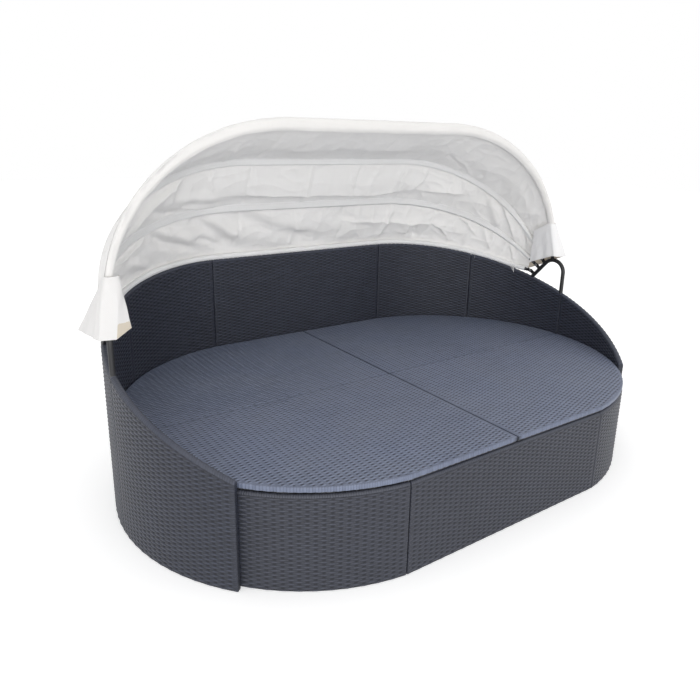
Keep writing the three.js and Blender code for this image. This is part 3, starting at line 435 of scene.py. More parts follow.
class NodePad:
    """A node tree with short ways to add and join nodes."""

    def __init__(self, tree: bpy.types.NodeTree) -> None:
        """Keeps the tree that nodes are added to."""
        self.tree = tree

    def node(self, kind: str, **settings: object) -> bpy.types.Node:
        """Adds a node.

        Args:
            kind: Blender's name of its type.
            settings: properties to set on it.

        Returns:
            The node.
        """
        made = self.tree.nodes.new(kind)
        for key, value in settings.items():
            setattr(made, key, value)
        return made

    def feed(self, socket: Socket, value: object) -> None:
        """Joins a socket to another node's output, or sets its value.

        Args:
            socket: the input to feed.
            value: an output to join, or a plain value.
        """
        if isinstance(value, Socket):
            self.tree.links.new(value, socket)
        else:
            socket.default_value = value

    def fill(self, node: bpy.types.Node, **values: object) -> bpy.types.Node:
        """Feeds a node's inputs by name, underscores standing for spaces."""
        for key, value in values.items():
            self.feed(node.inputs[key.replace("_", " ")], value)
        return node

    def math(self, operation: str, *values: object) -> Socket:
        """Adds a Math node.

        Args:
            operation: what it works out.
            values: its inputs in order.

        Returns:
            Its result.
        """
        made = self.node("ShaderNodeMath", operation=operation)
        for socket, value in zip(made.inputs, values):
            self.feed(socket, value)
        return made.outputs[0]

    def plus(self, first: object, second: object) -> Socket:
        """The sum of two numbers."""
        return self.math("ADD", first, second)

    def minus(self, first: object, second: object) -> Socket:
        """The difference of two numbers."""
        return self.math("SUBTRACT", first, second)

    def times(self, first: object, second: object) -> Socket:
        """The product of two numbers."""
        return self.math("MULTIPLY", first, second)

    def larger(self, first: object, second: object) -> Socket:
        """The larger of two numbers."""
        return self.math("MAXIMUM", first, second)

    def ramp(self, value: object, low: float, high: float, start: float = 0.0, end: float = 1.0) -> Socket:
        """Maps a value by a smooth ramp.

        Args:
            value: the value.
            low: where the ramp starts.
            high: where it ends.
            start: result at its start.
            end: result at its end.

        Returns:
            The mapped value.
        """
        made = self.node("ShaderNodeMapRange", interpolation_type="SMOOTHSTEP")
        for socket, item in zip(made.inputs, (value, low, high, start, end)):
            self.feed(socket, item)
        return made.outputs[0]

    def blend(self, share: object, first: object, second: object) -> Socket:
        """Blends two colours, each a socket or its red, green and blue.

        Args:
            share: share of the second one.
            first: the first colour.
            second: the second colour.

        Returns:
            The blended colour.
        """
        made = self.node("ShaderNodeMix", data_type="RGBA")
        for k, value in ((0, share), (6, first), (7, second)):
            self.feed(made.inputs[k], (*value, 1.0) if isinstance(value, tuple) else value)
        return made.outputs[2]

    def between(self, share: object, first: object, second: object) -> Socket:
        """Blends two numbers.

        Args:
            share: share of the second one.
            first: the first number.
            second: the second number.

        Returns:
            The blended number.
        """
        made = self.node("ShaderNodeMix", data_type="FLOAT")
        for k, value in ((0, share), (2, first), (3, second)):
            self.feed(made.inputs[k], value)
        return made.outputs[0]

    def noise(self, vector: object, scale: object, detail: float = 2.0) -> Socket:
        """Noise from 0 to 1 at a place."""
        made = self.node("ShaderNodeTexNoise")
        return self.fill(made, Vector=vector, Scale=scale, Detail=detail).outputs[0]

    def bump(self, height: object, distance: float) -> Socket:
        """The normal of a surface that a height raises by up to a distance."""
        return self.fill(self.node("ShaderNodeBump"), Height=height, Distance=distance).outputs[0]

    def stretch(self, vector: object, scale: Triple) -> Socket:
        """Multiplies a vector along its three axes.

        Args:
            vector: the vector.
            scale: the three factors.

        Returns:
            The stretched vector.
        """
        made = self.node("ShaderNodeVectorMath", operation="MULTIPLY")
        self.feed(made.inputs[0], vector)
        self.feed(made.inputs[1], scale)
        return made.outputs[0]

    def parts(self, vector: object) -> list[Socket]:
        """The three numbers of a vector."""
        return list(self.fill(self.node("ShaderNodeSeparateXYZ"), Vector=vector).outputs)

    def join(self, x: object, y: object, z: object) -> Socket:
        """A vector of three numbers."""
        return self.fill(self.node("ShaderNodeCombineXYZ"), X=x, Y=y, Z=z).outputs[0]

    def position(self) -> Socket:
        """The place on the object, in metres."""
        return self.node("ShaderNodeTexCoord").outputs["Object"]

    def place(self) -> Socket:
        """The material coordinate that a piece carries."""
        return self.node("ShaderNodeAttribute", attribute_name="place").outputs["Vector"]

    def group(self, tree: bpy.types.NodeTree, **values: object) -> Sockets:
        """Places a node group with its own values, and gives its outputs by name."""
        return self.fill(self.node("ShaderNodeGroup", node_tree=tree), **values).outputs


class EffectGroup:
    """A shader node group that is built once and placed in several materials."""

    name: str = "effect"
    reads_place: bool = False
    inputs: tuple[tuple[str, float], ...] = ()
    outputs: tuple[str, ...] = ("Mask",)

    def tree(self) -> bpy.types.NodeTree:
        """The group's node tree, built when it is first asked for.

        Returns:
            The tree, with its named inputs and outputs.
        """
        found = bpy.data.node_groups.get(self.name)
        if found:
            return found
        tree = bpy.data.node_groups.new(self.name, "ShaderNodeTree")
        if self.reads_place:
            tree.interface.new_socket("Place", in_out="INPUT", socket_type="NodeSocketVector")
        for label, default in self.inputs:
            socket = tree.interface.new_socket(label, in_out="INPUT", socket_type="NodeSocketFloat")
            socket.default_value = default
        for label in self.outputs:
            tree.interface.new_socket(label, in_out="OUTPUT", socket_type="NodeSocketFloat")
        pad = NodePad(tree)
        source = pad.node("NodeGroupInput")
        target = pad.node("NodeGroupOutput")
        for label, value in self.build(pad, {s.name: s for s in source.outputs}).items():
            pad.feed(target.inputs[label], value)
        return tree

    def build(self, pad: NodePad, given: Sockets) -> Sockets:
        """Adds the group's nodes.

        Args:
            pad: the group's tree.
            given: the group's inputs by name.

        Returns:
            What each output shows.
        """
        raise NotImplementedError


class StrandWeave(EffectGroup):
    """Flat strands that pass in turn over and under upright stakes."""

    name = "strand weave"
    reads_place = True
    inputs = (("Wraps for each stake", 3.2),)
    outputs = ("Height", "Hollow", "Groove shade", "Crest highlight", "Tone")

    def build(self, pad: NodePad, given: Sockets) -> Sockets:
        """Strand profile, masks for painted shade in the hollows behind the stakes and the grooves between
        strands, a mask for a painted highlight on the crests, and a tone for each strand.
        """
        u, v, opening = pad.parts(given["Place"])
        on_rim = pad.math("LESS_THAN", opening, -0.5)
        line = pad.between(on_rim, v, pad.times(u, given["Wraps for each stake"]))
        strand = pad.math("FLOOR", line)
        across = pad.math("ABSOLUTE", pad.minus(pad.math("FRACT", line), 0.5))
        profile = pad.minus(1.0, pad.math("POWER", pad.times(across, 2.0), 3.0))
        turns = pad.plus(u, strand)
        wave = pad.times(pad.math("COSINE", pad.times(turns, math.pi)), pad.larger(opening, 0.0))
        behind = pad.ramp(pad.times(wave, -1.0), 0.50, 0.98)
        rise = pad.times(pad.times(wave, profile), 0.55)
        tone = pad.node("ShaderNodeTexWhiteNoise", noise_dimensions="2D")
        pad.fill(tone, Vector=pad.join(pad.math("FLOOR", pad.times(turns, 0.5)), strand, 0.0))
        # Hollow shade and Groove shade mark where shade is painted; Crest highlight marks where a highlight
        # is painted.
        return {
            "Height": pad.plus(pad.times(profile, 0.45), rise),
            "Hollow": pad.times(behind, pad.ramp(profile, 0.15, 0.80)),
            "Groove shade": pad.ramp(profile, 0.0, 0.50, 1.0, 0.0),
            "Crest highlight": pad.times(pad.ramp(wave, 0.1, 0.95), pad.ramp(profile, 0.35, 0.95)),
            "Tone": tone.outputs["Value"],
        }


class DrawnGrain(EffectGroup):
    """Fine lines that drawing leaves along a plastic strand."""

    name = "drawn grain"
    reads_place = True
    inputs = (("Strength", 1.0),)

    def build(self, pad: NodePad, given: Sockets) -> Sockets:
        """Noise drawn out along the strand."""
        lines = pad.noise(pad.stretch(given["Place"], (0.6, 14.0, 1.0)), 1.0)
        return {"Mask": pad.times(pad.ramp(lines, 0.35, 0.7), given["Strength"])}


class OutdoorDust(EffectGroup):
    """Dust that lies on what faces up, in soft patches."""

    name = "outdoor dust"
    inputs = (("Amount", 0.2), ("Patch size", 6.0))

    def build(self, pad: NodePad, given: Sockets) -> Sockets:
        """Upward faces, broken up by noise."""
        facing = pad.parts(pad.node("ShaderNodeNewGeometry").outputs["Normal"])[2]
        patches = pad.ramp(pad.noise(pad.position(), given["Patch size"], 4.0), 0.3, 0.75)
        lying = pad.times(pad.ramp(facing, 0.0, 0.9), patches)
        return {"Mask": pad.times(lying, given["Amount"])}


class EdgeWear(EffectGroup):
    """Paint rubbed thin along edges."""

    name = "edge wear"
    inputs = (("Amount", 0.4), ("Breaks", 90.0))

    def build(self, pad: NodePad, given: Sockets) -> Sockets:
        """Pointed places, broken up by noise."""
        pointed = pad.ramp(pad.node("ShaderNodeNewGeometry").outputs["Pointiness"], 0.52, 0.6)
        broken = pad.ramp(pad.noise(pad.position(), given["Breaks"]), 0.42, 0.62)
        return {"Mask": pad.times(pad.times(pointed, broken), given["Amount"])}


class PlainCloth(EffectGroup):
    """A plain woven cloth: threads both ways, with slubs."""

    name = "plain cloth"
    reads_place = True
    inputs = (("Threads", 900.0),)
    outputs = ("Height", "Slub")

    def build(self, pad: NodePad, given: Sockets) -> Sockets:
        """Crossed threads and long soft slubs."""
        u, v, _ = pad.parts(given["Place"])
        warp = pad.math("SINE", pad.times(u, given["Threads"]))
        weft = pad.math("SINE", pad.times(v, given["Threads"]))
        slubs = [
            pad.noise(pad.stretch(given["Place"], scale), 1.0)
            for scale in ((6.0, 240.0, 1.0), (240.0, 6.0, 1.0))
        ]
        slub = pad.plus(*slubs)
        return {"Height": pad.plus(pad.times(warp, weft), slub), "Slub": slub}


# Finishes


def plain_material(name: str) -> tuple[NodePad, bpy.types.Node, bpy.types.Material]:
    """A new material with a Principled BSDF and nothing else.

    Args:
        name: name of the material.

    Returns:
        Its nodes, its shader and the material.
    """
    material = bpy.data.materials.new(name)
    material.use_nodes = True
    pad = NodePad(material.node_tree)
    pad.tree.nodes.clear()
    shader = pad.node("ShaderNodeBsdfPrincipled")
    pad.fill(pad.node("ShaderNodeOutputMaterial"), Surface=shader.outputs[0])
    return pad, shader, material


@dataclass(frozen=True)
class Finish:
    """A finish that is made once and given to many pieces."""

    name: str

    def material(self) -> bpy.types.Material:
        """The material, made when it is first asked for."""
        return bpy.data.materials.get(self.name) or self.make()

    def make(self) -> bpy.types.Material:
        """Makes the material."""
        raise NotImplementedError

    def dress(self, piece: Piece) -> None:
        """Gives a piece this finish in every slot."""
        if not piece.data.materials:
            piece.data.materials.append(self.material())
        for slot in piece.material_slots:
            slot.material = self.material()


@dataclass(frozen=True)
class WovenStrand(Finish):
    """Flat plastic strand, woven."""

    strand: Triple
    light_strand: Triple
    # hollow is the colour of painted shade; the two shares set how dark hollows and grooves are painted,
    # and rim_highlight how far wrapped rims are painted lighter as a highlight.
    hollow: Triple = (0.006, 0.007, 0.010)
    roughness: float = 0.42
    dust_amount: float = 0.10
    relief: float = 0.0024
    hollow_shade_share: float = 0.72
    groove_shade_share: float = 0.45
    rim_highlight: float = 1.4

    def make(self) -> bpy.types.Material:
        """Strand colour with painted highlights on the crests and the wrapped rims, painted shade in the
        hollows, the grooves, the seat's slits and its recess, drawn grain, dust and relief.

        Returns:
            The material.
        """
        pad, shader, material = plain_material(self.name)
        place = pad.place()
        weave = pad.group(StrandWeave().tree(), Place=place)
        grain = pad.group(DrawnGrain().tree(), Place=place, Strength=0.5)["Mask"]
        dust = pad.group(OutdoorDust().tree(), Amount=self.dust_amount, Patch_size=5.0)["Mask"]
        clouds = pad.noise(pad.position(), 3.0, 3.0)
        share = pad.plus(pad.times(weave["Tone"], 0.3), pad.times(clouds, 0.3))
        # Painted highlight: crests where a strand passes over a stake are lightened.
        share = pad.plus(share, pad.times(weave["Crest highlight"], 0.7))
        below = pad.times(pad.parts(place)[2], -1.0)
        wrapped = pad.math("GREATER_THAN", below, 0.5)
        # Painted highlight: wrapped rims and wrapped seat edges are lightened in patches.
        share = pad.plus(share, pad.times(pad.times(wrapped, clouds), self.rim_highlight))
        colour = pad.blend(share, self.strand, self.light_strand)
        # Painted shade: hollows behind the stakes and grooves between strands are darkened.
        hollow = pad.times(weave["Hollow"], self.hollow_shade_share)
        painted_shade = pad.larger(hollow, pad.times(weave["Groove shade"], self.groove_shade_share))
        # Painted shade: the seat's seam slits and the recess under its lip are darkened.
        painted_shade = pad.larger(painted_shade, pad.math("MINIMUM", pad.minus(below, 1.0), 1.0))
        colour = pad.blend(painted_shade, colour, self.hollow)
        rough = pad.plus(self.roughness, pad.times(grain, 0.10))
        rough = pad.plus(rough, pad.times(painted_shade, 0.40))
        height = pad.plus(weave["Height"], pad.times(grain, 0.05))
        pad.fill(
            shader,
            Base_Color=pad.blend(pad.math("MINIMUM", dust, 1.0), colour, DUST),
            Roughness=pad.plus(rough, dust),
            Normal=pad.bump(height, self.relief),
        )
        return material


@dataclass(frozen=True)
class CoatedMetal(Finish):
    """Powder-coated aluminium tube and bar."""

    paint: Triple = (0.012, 0.012, 0.014)
    bare: Triple = (0.32, 0.32, 0.33)
    roughness: float = 0.34
    wear: float = 0.35
    dust_amount: float = 0.12
    peel_depth: float = 0.00025

    def make(self) -> bpy.types.Material:
        """Fine orange-peel paint, rubbed along its edges.

        Returns:
            The material.
        """
        pad, shader, material = plain_material(self.name)
        wear = pad.group(EdgeWear().tree(), Amount=self.wear)["Mask"]
        dust = pad.group(OutdoorDust().tree(), Amount=self.dust_amount)["Mask"]
        peel = pad.noise(pad.position(), 900.0, 1.0)
        pad.fill(
            shader,
            Base_Color=pad.blend(dust, pad.blend(wear, self.paint, self.bare), DUST),
            Metallic=wear,
            Roughness=pad.plus(self.roughness, pad.times(peel, 0.15)),
            Normal=pad.bump(peel, self.peel_depth),
        )
        return material


@dataclass(frozen=True)
class BrightSteel(Finish):
    """Zinc-plated bolts and nuts."""

    metal: Triple = (0.42, 0.43, 0.44)
    stain: Triple = (0.16, 0.15, 0.14)

    def make(self) -> bpy.types.Material:
        """Plated steel, clouded and stained in patches.

        Returns:
            The material.
        """
        pad, shader, material = plain_material(self.name)
        clouds = pad.ramp(pad.noise(pad.position(), 160.0, 3.0), 0.35, 0.75)
        colour = pad.blend(clouds, self.metal, self.stain)
        pad.fill(shader, Base_Color=colour, Metallic=0.9, Roughness=pad.between(clouds, 0.28, 0.55))
        return material


@dataclass(frozen=True)
class MouldedPlastic(Finish):
    """Black moulded glides."""

    colour: Triple = (0.014, 0.014, 0.015)
    scuffed: Triple = (0.1, 0.1, 0.1)
    grit_depth: float = 0.0002

    def make(self) -> bpy.types.Material:
        """Fine moulded texture with scuffs underneath.

        Returns:
            The material.
        """
        pad, shader, material = plain_material(self.name)
        scuff = pad.ramp(pad.noise(pad.position(), 220.0, 3.0), 0.5, 0.8)
        pad.fill(
            shader,
            Base_Color=pad.blend(pad.times(scuff, 0.3), self.colour, self.scuffed),
            Roughness=pad.between(scuff, 0.5, 0.75),
            Normal=pad.bump(pad.noise(pad.position(), 1400.0, 1.0), self.grit_depth),
        )
        return material


@dataclass(frozen=True)
class CanopyFabric(Finish):
    """Off-white outdoor cloth, a little thin."""

    cloth: Triple = (0.81, 0.797, 0.782)
    shade: Triple = (0.73, 0.72, 0.70)
    inside: Triple = (0.62, 0.56, 0.47)
    beige_inside: bool = False
    stitch_gap: float = 0.006
    stitch_inset: float = 0.007
    thinness: float = 0.9
    scatter: float = 0.004
    relief: float = 0.00045

    def make(self) -> bpy.types.Material:
        """Plain weave with slubs, faint stains, stitching beside the seams and a soft sheen.

        Returns:
            The material.
        """
        pad, shader, material = plain_material(self.name)
        place = pad.place()
        weave = pad.group(PlainCloth().tree(), Place=place)
        clouds = pad.ramp(pad.noise(pad.position(), 2.6, 4.0), 0.35, 0.75)
        colour = pad.blend(pad.times(clouds, 0.35), self.cloth, self.shade)
        slub = pad.times(pad.ramp(weave["Slub"], 0.85, 1.25), 0.12)
        colour = pad.blend(slub, colour, self.shade)
        u, _, third = pad.parts(place)
        lined = pad.math("GREATER_THAN", third, 0.5)
        off_stitch = pad.minus(pad.minus(third, lined), self.stitch_inset)
        near = pad.ramp(pad.math("ABSOLUTE", off_stitch), 0.0004, 0.0011, 1.0, 0.0)
        turns = pad.times(u, 2.0 * math.pi / self.stitch_gap)
        stitch = pad.times(pad.ramp(pad.math("SINE", turns), -0.2, 0.2), near)
        colour = pad.blend(pad.times(near, 0.22), colour, self.shade)
        if self.beige_inside:
            colour = pad.blend(lined, colour, self.inside)
        soft = pad.noise(pad.position(), 38.0, 3.0)
        height = pad.plus(pad.times(weave["Height"], 0.3), pad.times(soft, 2.0))
        height = pad.minus(pad.plus(height, pad.times(stitch, 1.2)), near)
        pad.fill(
            shader,
            Base_Color=colour,
            Roughness=pad.plus(0.78, pad.times(clouds, 0.12)),
            Subsurface_Weight=self.thinness,
            Subsurface_Radius=(1.0, 1.0, 1.0),
            Subsurface_Scale=self.scatter,
            Sheen_Weight=0.12,
            Sheen_Roughness=0.5,
            Normal=pad.bump(height, self.relief),
        )
        return material


SHELL_WEAVE = WovenStrand("shell weave", (0.012, 0.014, 0.024), (0.044, 0.051, 0.078))
SKIRT_WEAVE = WovenStrand("skirt weave", (0.019, 0.021, 0.032), (0.043, 0.048, 0.070))
# Painted light: the seat's weave is painted far lighter than the shell's and skirt's, standing in for the
# top light and sky sheen on the seat.
SEAT_WEAVE_PAINTED_LIGHTER = WovenStrand("seat weave", (0.108, 0.127, 0.188), (0.225, 0.262, 0.372), rim_highlight=0.1)
COAT = CoatedMetal("black powder coat")
PLATED = BrightSteel("plated steel")
GLIDE = MouldedPlastic("black glide")
CLOTH = CanopyFabric("canopy cloth")
# Painted light: the sleeves are the canopy cloth painted lighter, so that they read as light lines without
# a dark band below.
SLEEVE_CLOTH_PAINTED_LIGHTER = CanopyFabric("sleeve cloth", cloth=(0.93, 0.93, 0.925), thinness=0.4, scatter=0.002)
# Painted light and shade: both cuffs are one cloth, the left painted darker and the right painted lighter
# to stand in for how light falls on each side.
PAINTED_SHADE_CUFF_CLOTH = CanopyFabric(
    "left cuff cloth", (0.76, 0.75, 0.745), beige_inside=True, thinness=0.5, scatter=0.002
)
PAINTED_LIGHT_CUFF_CLOTH = CanopyFabric(
    "right cuff cloth", (0.93, 0.925, 0.93), beige_inside=True, thinness=0.5, scatter=0.002
)


# Woven panels


@dataclass(frozen=True)
class WeavePattern:
    """Sizes of the weave, as counted in the photograph."""

    stake: float = 0.0226
    strand: float = 0.00705
    relief: float = 0.0014
    edge_round: float = 0.0045
    plain_band: float = 0.001
    opening_band: float = 0.006
    rim_steps: int = 9
    room_share: float = 0.3

    def opening(self, distance: Array) -> Array:
        """How far the weave is open at a distance from an edge."""
        return smooth_step(self.plain_band, self.plain_band + self.opening_band, distance)

    def bumps(self, u: Array, v: Array, opening: Array) -> Array:
        """Height of the woven surface over its middle."""
        return self.relief * np.cos(math.pi * u) * np.sin(math.pi * v) * opening

    def steps(self, length: float, step: float, end_round: float) -> tuple[Array, Array]:
        """Stations along a length, close together where its ends are round.

        Args:
            length: the length to divide.
            step: distance between stations away from the ends.
            end_round: radius of the ends.

        Returns:
            The stations, and how far the surface draws in at each.
        """
        angles = np.radians([0.0, 30.0, 60.0, 90.0])
        ends = end_round * (1.0 - np.cos(angles))
        pull = end_round * (1.0 - np.sin(angles))
        middle = np.arange(step, length, step)
        room = end_round + self.room_share * step
        middle = middle[(middle > room) & (middle < length - room)]
        stations = np.concatenate([ends, middle, (length - ends)[::-1]])
        draws = np.concatenate([pull, np.zeros(len(middle)), pull[::-1]])
        return stations, draws


WEAVE = WeavePattern()


@dataclass(frozen=True)
class WovenWall:
    """One upright woven panel with a rounded rim and rounded ends."""

    name: str
    run: Run
    inner: float
    top_at: RimHeight
    hidden_below: float
    finish: Finish
    slot: str
    end_inset: float = 0.0
    rim_lump: float = 0.0016
    edge_lead: float = 0.004
    hidden_lead: float = 0.02
    foot_rises: Triple = (0.0, 0.001, 0.003)
    foot_draws: Triple = (0.003, 0.001, 0.0)

    def build(self) -> Piece:
        """Makes the panel: rings round its section, one for each half stake.

        Returns:
            The finished piece, riding the frame.
        """
        length = self.run.length
        pitch = length / max(2, round(length / WEAVE.stake))
        along, draw = WEAVE.steps(length, pitch / 2.0, WEAVE.edge_round)
        along = self.end_inset + along * (1.0 - 2.0 * self.end_inset / length)
        half = PLAN.panel / 2.0
        clamp = (self.top_at(along) - half)[:, None]
        rows = np.arange(WEAVE.strand, float(clamp.max()) + WEAVE.strand, WEAVE.strand / 2.0)
        row_draw = np.concatenate([self.foot_draws, np.zeros(len(rows))])
        z = np.minimum(np.concatenate([self.foot_rises, rows])[None, :], clamp)
        u = np.broadcast_to((along / pitch)[:, None], z.shape)
        v = z / WEAVE.strand
        from_end = np.minimum(along, length - along)[:, None]
        from_rim = clamp - z
        opening = WEAVE.opening(np.minimum(from_end, np.minimum(from_rim, z) + self.edge_lead))
        opening = np.where(from_rim <= 0.0, 0.0, opening)
        bump = WEAVE.bumps(u, v, opening)
        drawn = np.maximum(draw[:, None], row_draw[None, :])
        middle = self.inner + half
        z_in = np.where(z < self.hidden_below - self.hidden_lead, 0.0, z)
        bump_in = np.where(z < self.hidden_below, 0.0, bump)
        inner = self._points(along, middle - half + drawn - bump_in, z_in)
        outer = self._points(along, middle + half - drawn + bump, z)
        turn = np.linspace(0.0, math.pi, WEAVE.rim_steps + 1)[1:-1]
        reach = (half - draw - self.rim_lump * np.abs(np.sin(math.pi * along / pitch)))[:, None]
        rim = self._points(along, middle - reach * np.cos(turn), clamp + reach * np.sin(turn))
        places = stacked(u, v, opening)
        # A third coordinate of -1 marks the wrapped rim, which the finish paints lighter as a highlight.
        rim_places = stacked(u[:, :1], turn, -1.0)
        draft = MeshDraft()
        index = draft.add(
            np.concatenate([inner, rim, outer[:, ::-1]], 1),
            np.concatenate([places, rim_places, places[:, ::-1]], 1),
        )
        draft.grid(index, wrap_columns=True)
        draft.ladder(index[0], True)
        draft.ladder(index[-1], False)
        piece = draft.object(self.name.replace("_weave", "_woven"), merge=True)
        self.finish.dress(piece)
        return settle(piece, "daybed_frame", [self.name])

    def _points(self, along: Array, offset: Array, z: Array) -> Array:
        """Points of the wall.

        Args:
            along: distances along the wall.
            offset: distances outward, stations by rows.
            z: heights, stations by rows.

        Returns:
            Points with x, y, z in the last axis.
        """
        plan = self.run.point(np.broadcast_to(along[:, None], offset.shape), offset)
        return stacked(plan[..., 0], plan[..., 1], z)


def level_rim(height: float) -> RimHeight:
    """A rim that keeps one height all along."""
    return lambda along: np.full(np.shape(along), height)


@dataclass(frozen=True)
class Skirt:
    """The low woven panels round the front."""

    hidden_depth: float = 0.03
    end_inset: float = 0.001

    def build(self) -> None:
        """Makes the straight panel and the two curved ones."""
        inner = -PLAN.panel
        runs: dict[str, Run] = {"front": StraightRun(-1)}
        for side in Side:
            stop = -PLAN.sweep + PLAN.lap / PLAN.radius
            runs[side.word] = EndRun(side, -PLAN.corner, stop, inner / 2.0)
        top = level_rim(PLAN.skirt_top)
        hidden = PLAN.skirt_top - self.hidden_depth
        for word, run in runs.items():
            name = f"skirt_{word}_weave"
            WovenWall(name, run, inner, top, hidden, SKIRT_WEAVE, "skirt_weave", self.end_inset).build()


@dataclass(frozen=True)
class Shell:
    """The backrest shell, whose rim slopes down to the front."""

    hidden_below: float = 0.300

    def build(self) -> None:
        """Makes the straight back and three curved panels on each side."""
        self._wall("shell_back_weave", StraightRun(1), level_rim(PLAN.back_top))
        spans = {
            "rear": (PLAN.sweep, PLAN.corner),
            "side": (0.0, PLAN.sweep),
            "arm": (-PLAN.sweep, 0.0),
        }
        for side in Side:
            for place, (start, stop) in spans.items():
                run = EndRun(side, start, stop, PLAN.shell_gap + PLAN.panel / 2.0)
                self._wall(f"shell_{place}_{side.word}_weave", run, run.rim)

    def _wall(self, name: str, run: Run, top: RimHeight) -> None:
        """Makes one panel of the shell."""
        WovenWall(name, run, PLAN.shell_gap, top, self.hidden_below, SHELL_WEAVE, "shell_weave").build()


@dataclass(frozen=True)
class SeatPanel:
    """One quarter of the seat: woven over its frame and wrapped round the edges."""

    place: str
    side: Side
    edge_round: float = 0.0035
    setback: float = 0.0027
    lip: float = 0.0145
    recess: float = 0.0036
    lump: float = 0.0020
    wall: float = 0.005
    skin: float = 0.0025
    edge_lead: float = 0.002
    seam_reach: float = 0.001
    recess_round: float = 0.002
    # slit_shade and under_shade are painted shade: how dark the walls of the inner seams and the recess
    # under the lip are painted.
    slit_shade: float = 0.8
    under_shade: float = 0.9
    join_reach: float = 1e-4

    def build(self) -> Piece:
        """Makes the woven top, its wrapped edge and the turned-in underside.

        Returns:
            The finished piece, riding the frame.
        """
        start = self.setback + self.edge_round
        radius = PLAN.radius - start
        depth = PLAN.half_depth - start
        rows = self._marks(start, depth, WEAVE.strand / 2.0)
        far = PLAN.centre_x + np.sqrt(radius**2 - rows**2)
        columns = self._marks(start, float(far.max()), WEAVE.stake / 2.0)
        a = np.minimum(columns[None, :], far[:, None])
        b = np.broadcast_to(rows[:, None], a.shape)
        u, v = a / WEAVE.stake, b / WEAVE.strand
        from_arc = radius - np.hypot(np.maximum(a - PLAN.centre_x, 0.0), b)
        from_edge = np.minimum(np.minimum(a, b) - start, np.minimum(depth - b, from_arc))
        opening = WEAVE.opening(from_edge + self.edge_lead)
        z = PLAN.seat_top + WEAVE.bumps(u, v, opening)
        draft = MeshDraft()
        index = draft.add(stacked(a, b, z), stacked(u, v, opening))
        draft.grid(index)
        loop = self._border(columns, far, index)
        border = np.concatenate(draft.points)[loop]
        outward = self._outward(border[:, :2])
        along_x = np.where(np.abs(outward[:, 1]) > np.abs(outward[:, 0]), -1.0, 0.0)
        lumps = np.abs(np.sin(border[:, :1] / WEAVE.stake * math.pi)) * self.lump * -along_x[:, None]
        inner_seam = np.minimum(border[:, 0], border[:, 1]) < start + self.seam_reach
        seam_shades = np.where(inner_seam, self.slit_shade, 0.0)
        previous = loop
        for reach, level, ring_shade in self._edge():
            out = reach + lumps * (ring_shade == 0.0)
            flat = border[:, :2] + outward * out
            ring = stacked(flat[:, 0], flat[:, 1], level)
            # Painted shade: seam walls below the rounding and the recess and underside rings get a mark
            # below -1, which the finish paints dark; a mark of -1 is a wrapped edge, painted a little
            # lighter as a highlight.
            deep = np.maximum(seam_shades * (level < PLAN.seat_top - self.edge_round / 2.0), ring_shade)
            marks = np.where(deep > 0.0, -1.0 - deep, along_x)
            places = stacked(border[:, 0] / WEAVE.stake, border[:, 1] / WEAVE.strand, marks)
            following = draft.add(ring, places)
            draft.grid(np.stack([previous, following]), wrap_columns=True)
            previous = following
        draft.faces.append(previous[::-1].tolist())
        sign = np.array([self.side.value, 1.0 if self.place == "rear" else -1.0, 1.0])
        draft.points = [block * sign + np.array([0.0, PLAN.shift, 0.0]) for block in draft.points]
        name = f"seat_{self.place}_{self.side.word}"
        piece = draft.object(f"{name}_woven", merge=True)
        SEAT_WEAVE_PAINTED_LIGHTER.dress(piece)
        return settle(piece, "daybed_frame", [f"{name}_weave"])

    def _marks(self, start: float, stop: float, step: float) -> Array:
        """Whole multiples of a step between two ends.

        Args:
            start: where the marks start.
            stop: where they stop.
            step: distance between them.

        Returns:
            The marks, with both ends.
        """
        inner = np.arange(math.ceil(start / step) + 1, math.floor(stop / step)) * step
        return np.concatenate([[start], inner, [stop]])

    def _border(self, columns: Array, far: Array, index: Array) -> Array:
        """Goes round the edge of the woven top.

        Args:
            columns: distances of the grid's columns from the long seam.
            far: how far each row reaches from it.
            index: the grid's vertex numbers.

        Returns:
            Vertex numbers round the edge.
        """
        first = index[0, :-1][columns[:-1] < far[0] - self.join_reach]
        last = index[-1, :-1][columns[:-1] < far[-1] - self.join_reach]
        return np.concatenate([first, index[:, -1], last[::-1], index[1:-1, 0][::-1]])

    def _outward(self, border: Array) -> Array:
        """Outward directions round a closed border.

        Args:
            border: plan points round the border.

        Returns:
            A direction at each point, longer at a corner.
        """
        ahead = unit(np.roll(border, -1, 0) - border)
        behind = unit(border - np.roll(border, 1, 0))
        first = stacked(ahead[:, 1], -ahead[:, 0])
        second = stacked(behind[:, 1], -behind[:, 0])
        share = 1.0 + (first * second).sum(-1, keepdims=True)
        return (first + second) / np.maximum(share, 0.5)

    def _edge(self) -> list[Triple]:
        """The rings from the woven top round to the underside.

        Returns:
            Reach, height and painted shade of each ring: the recess and the underside are painted dark.
        """
        r, top, shade = self.edge_round, PLAN.seat_top, self.under_shade
        low = top - self.lip
        turns = [math.radians(degrees) for degrees in (25.0, 50.0, 75.0, 90.0)]
        rings = [(r * math.sin(turn), top - r * (1.0 - math.cos(turn)), 0.0) for turn in turns]
        return rings + [
            (r, low, 0.0),
            (r - self.recess, low - self.recess_round, shade),
            (r - self.recess, PLAN.seat_low, shade),
            (r - self.wall, PLAN.seat_low, shade),
            (r - self.wall, top - self.skin, shade),
        ]


# Bows and their pressed ends


